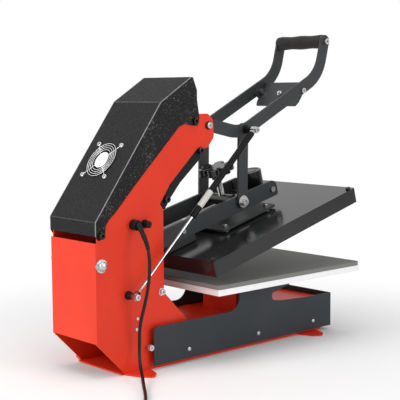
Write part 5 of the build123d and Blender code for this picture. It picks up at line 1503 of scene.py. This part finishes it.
@dataclass
class FanGuard:
    """Wire guard over the fan, square to the cover's slope: rings, four spokes, four ears and a domed hub."""

    shop: Workshop
    lift: float = 4.0
    rings: tuple[float, ...] = (26.6, 32.0, 37.4, 42.8)
    wire: float = 0.65
    spoke: Spot = (12.0, 55.0)
    drop: float = 1.5
    hub: float = 20.6
    ear: float = 5.2
    hole_reach: float = 58.34
    dome: tuple[float, ...] = (0.97, 0.9, 0.8, 0.78, 0.6, 0.58, 0.35, 0.1)

    def build(self) -> None:
        """Make the guard; a ring is centre + (ring + wire cos b) (cos a, sin a), and wire sin b square to it."""
        run, normal, base = self.shop.fan_seat()
        across = np.array([1.0, 0, 0])
        a, b = circle(96)[:, None, None], circle(10)[None, :, None]
        way = np.cos(a) * across + np.sin(a) * run
        above = (self.lift + self.wire * np.sin(b)) * normal
        skins = [tube(base + MM * ((ring + self.wire * np.cos(b)) * way + above), True) for ring in self.rings]
        ear = [(0, 2.6), (0, self.ear - 0.3), (0.3, self.ear), (3.4, self.ear), (3.9, self.ear - 0.6), (3.9, 2.6)]
        for turn in np.radians([45, 135, 225, 315]):
            out = math.cos(turn) * across + math.sin(turn) * run
            start = base + (self.lift - self.drop) * MM * normal
            skins.append(lathe(([(s, self.wire) for s in self.spoke], None), start, out, 12))
            skins.append(lathe((ear, None), base + out * self.hole_reach * MM, normal, 28))
        hub = [(self.lift - 2.4, self.hub - 0.5), (self.lift - 1.9, self.hub), (self.lift - 0.4, self.hub)]
        hub += [(self.lift - 0.1 + 1.3 * (1 - share**2), self.hub * share) for share in self.dome]
        skins.append(lathe((hub, None), base, normal, 64))
        skin = Skin.joined(skins)
        self.shop.add("wire_guard", skin, "base", "bright_rod", "fan_guard", "white_nickel_wire", 40)


@dataclass
class SpringEnds:
    """Spacer at the gas spring's upper eye, and its lower stud: a tapered spacer and a bright cap screw."""

    shop: Workshop
    link_face: float = 79.7
    wide: float = 10.0
    narrow: float = 6.5
    length: float = 20.0
    screw_from: float = 114.0
    head: Spot = (7.0, 7.0)
    sleeve: Rows = (
        (0.02, 6), (0.02, 10.1), (0.4, 10.4), (3.7, 10.4), (4.1, 10.1), (4.1, 8.5), (23.3, 8.3), (23.6, 8.0),
        (23.6, 6),
    )

    def build(self) -> None:
        """Make the spacers as turned sleeves, the lower one's radius falling evenly to the eye, and the screw."""
        skin, = outwards((self.sleeve, None), self.link_face, [self.shop.spring_top], signs=(-1,))
        self.shop.add("link_spacer", skin, "handle", "black_plastic")
        rows = [(-4, 4), (0, 4), (0, self.wide - 0.3), (0.3, self.wide), (2.0, self.wide - 0.5)]
        rows += [(self.length - 0.4, self.narrow), (self.length, self.narrow - 0.3)]
        foot = [self.shop.spring_foot]
        skin, = outwards((rows, None), self.shop.column_half, foot, signs=(-1,))
        self.shop.add("stud_spacer", skin, "base", "black_plastic", "spring_stud")
        skin, = outwards(capped_bolt(4.0, 10.0, self.head), self.screw_from, foot, signs=(-1,))
        self.shop.add("stud_screw", skin, "base", "stainless", "spring_stud")


@dataclass
class SkirtScrews:
    """Button-head screws along the drawer's skirt."""

    shop: Workshop
    spots: tuple[Spot, ...] = ((252.0, 32.0), (479.0, 32.0), (679.0, 32.0))
    inner: float = 96.7
    seat: float = 2.0
    head: Spot = (5.0, 3.0)
    shank: float = 2.5

    def build(self) -> None:
        """Make the screws: a shank, a domed head that follows a circle's arc, and a hexagonal socket."""
        radius, height = self.head
        rows = [(0, self.shank), (self.seat, self.shank), (self.seat, radius)]
        for a in np.linspace(0, QUARTER, 8):
            rows.append((self.seat + 0.5 + (height - 0.5) * math.sin(a), 2.2 + (radius - 2.2) * math.cos(a)))
        socket = [(self.seat + height - 0.2, 1.9), (self.seat + 1.2, 1.9)]
        shape = (rows + socket, [False] * len(rows) + [True] * len(socket))
        skin = Skin.joined(outwards(shape, self.inner, self.spots, 36))
        self.shop.add(
            "skirt_button_screws", skin, "carriage", "black_plastic", "skirt_screws", "zinc_plated_steel",
        )


@dataclass
class ButtonMarks:
    """Raised signs on the three buttons: an arrow up, a dot and an arrow down."""

    shop: Workshop
    panel_low: Spot = (296.2, 574.0)
    panel_top: Spot = (282.0, 652.0)
    size: float = 2.6
    proud: float = 0.25

    def build(self) -> None:
        """Make the signs: a prism with three or many sides on the middle of each button's face."""
        rise = at(0, *self.panel_top) - at(0, *self.panel_low)
        rise /= np.linalg.norm(rise)
        normal = np.cross([1.0, 0, 0], rise)
        if normal[1] > 0:
            normal = -normal
        right = np.cross(rise, normal)
        signs = {"button_up": (3, 90), "button_set": (24, 0), "button_down": (3, -90)}
        for (node, (sides, start)), body in zip(signs.items(), ("up_button", "set_button", "down_button")):
            mesh = frame["nodes"][node].data
            corners = np.array([vertex.co[:] for vertex in mesh.vertices])
            reach = corners @ normal
            face = corners[reach > reach.max() - 1e-5]
            middle = (face.min(0) + face.max(0)) / 2
            angles = np.radians(start + np.arange(sides) * 360 / sides)
            size = self.size * MM * (1 if sides == 3 else 0.6)
            flat = size * (np.cos(angles)[:, None] * right + np.sin(angles)[:, None] * rise)
            levels = [(-0.2, 1.0), (self.proud * 0.7, 1.0), (self.proud, 0.9)]
            rings = np.stack([middle + flat * share + normal * height * MM for height, share in levels])
            self.shop.add(f"{node}_mark", tube(rings), body, "black_plastic", "", "pale_mark_ink", 35)


def main() -> None:
    """Build the camera, the lead, the finishes and each dressed piece, then the studio."""
    logging.basicConfig(level=logging.INFO, format="%(message)s")
    bpy.context.scene.view_settings.view_transform = "Standard"
    Viewpoint().build()
    shop = Workshop()
    shop.open()
    MainsLead(shop).build()
    shop.dress_nodes()
    for part in (
        LowerPlaten, UpperPlaten, HandleGrip, PressureScrew, ArmShaft, NeckFasteners, FanGuard, SpringEnds,
        SkirtScrews, ButtonMarks,
    ):
        part(shop).build()
    Studio().build()


if __name__ == "__main__":
    main()
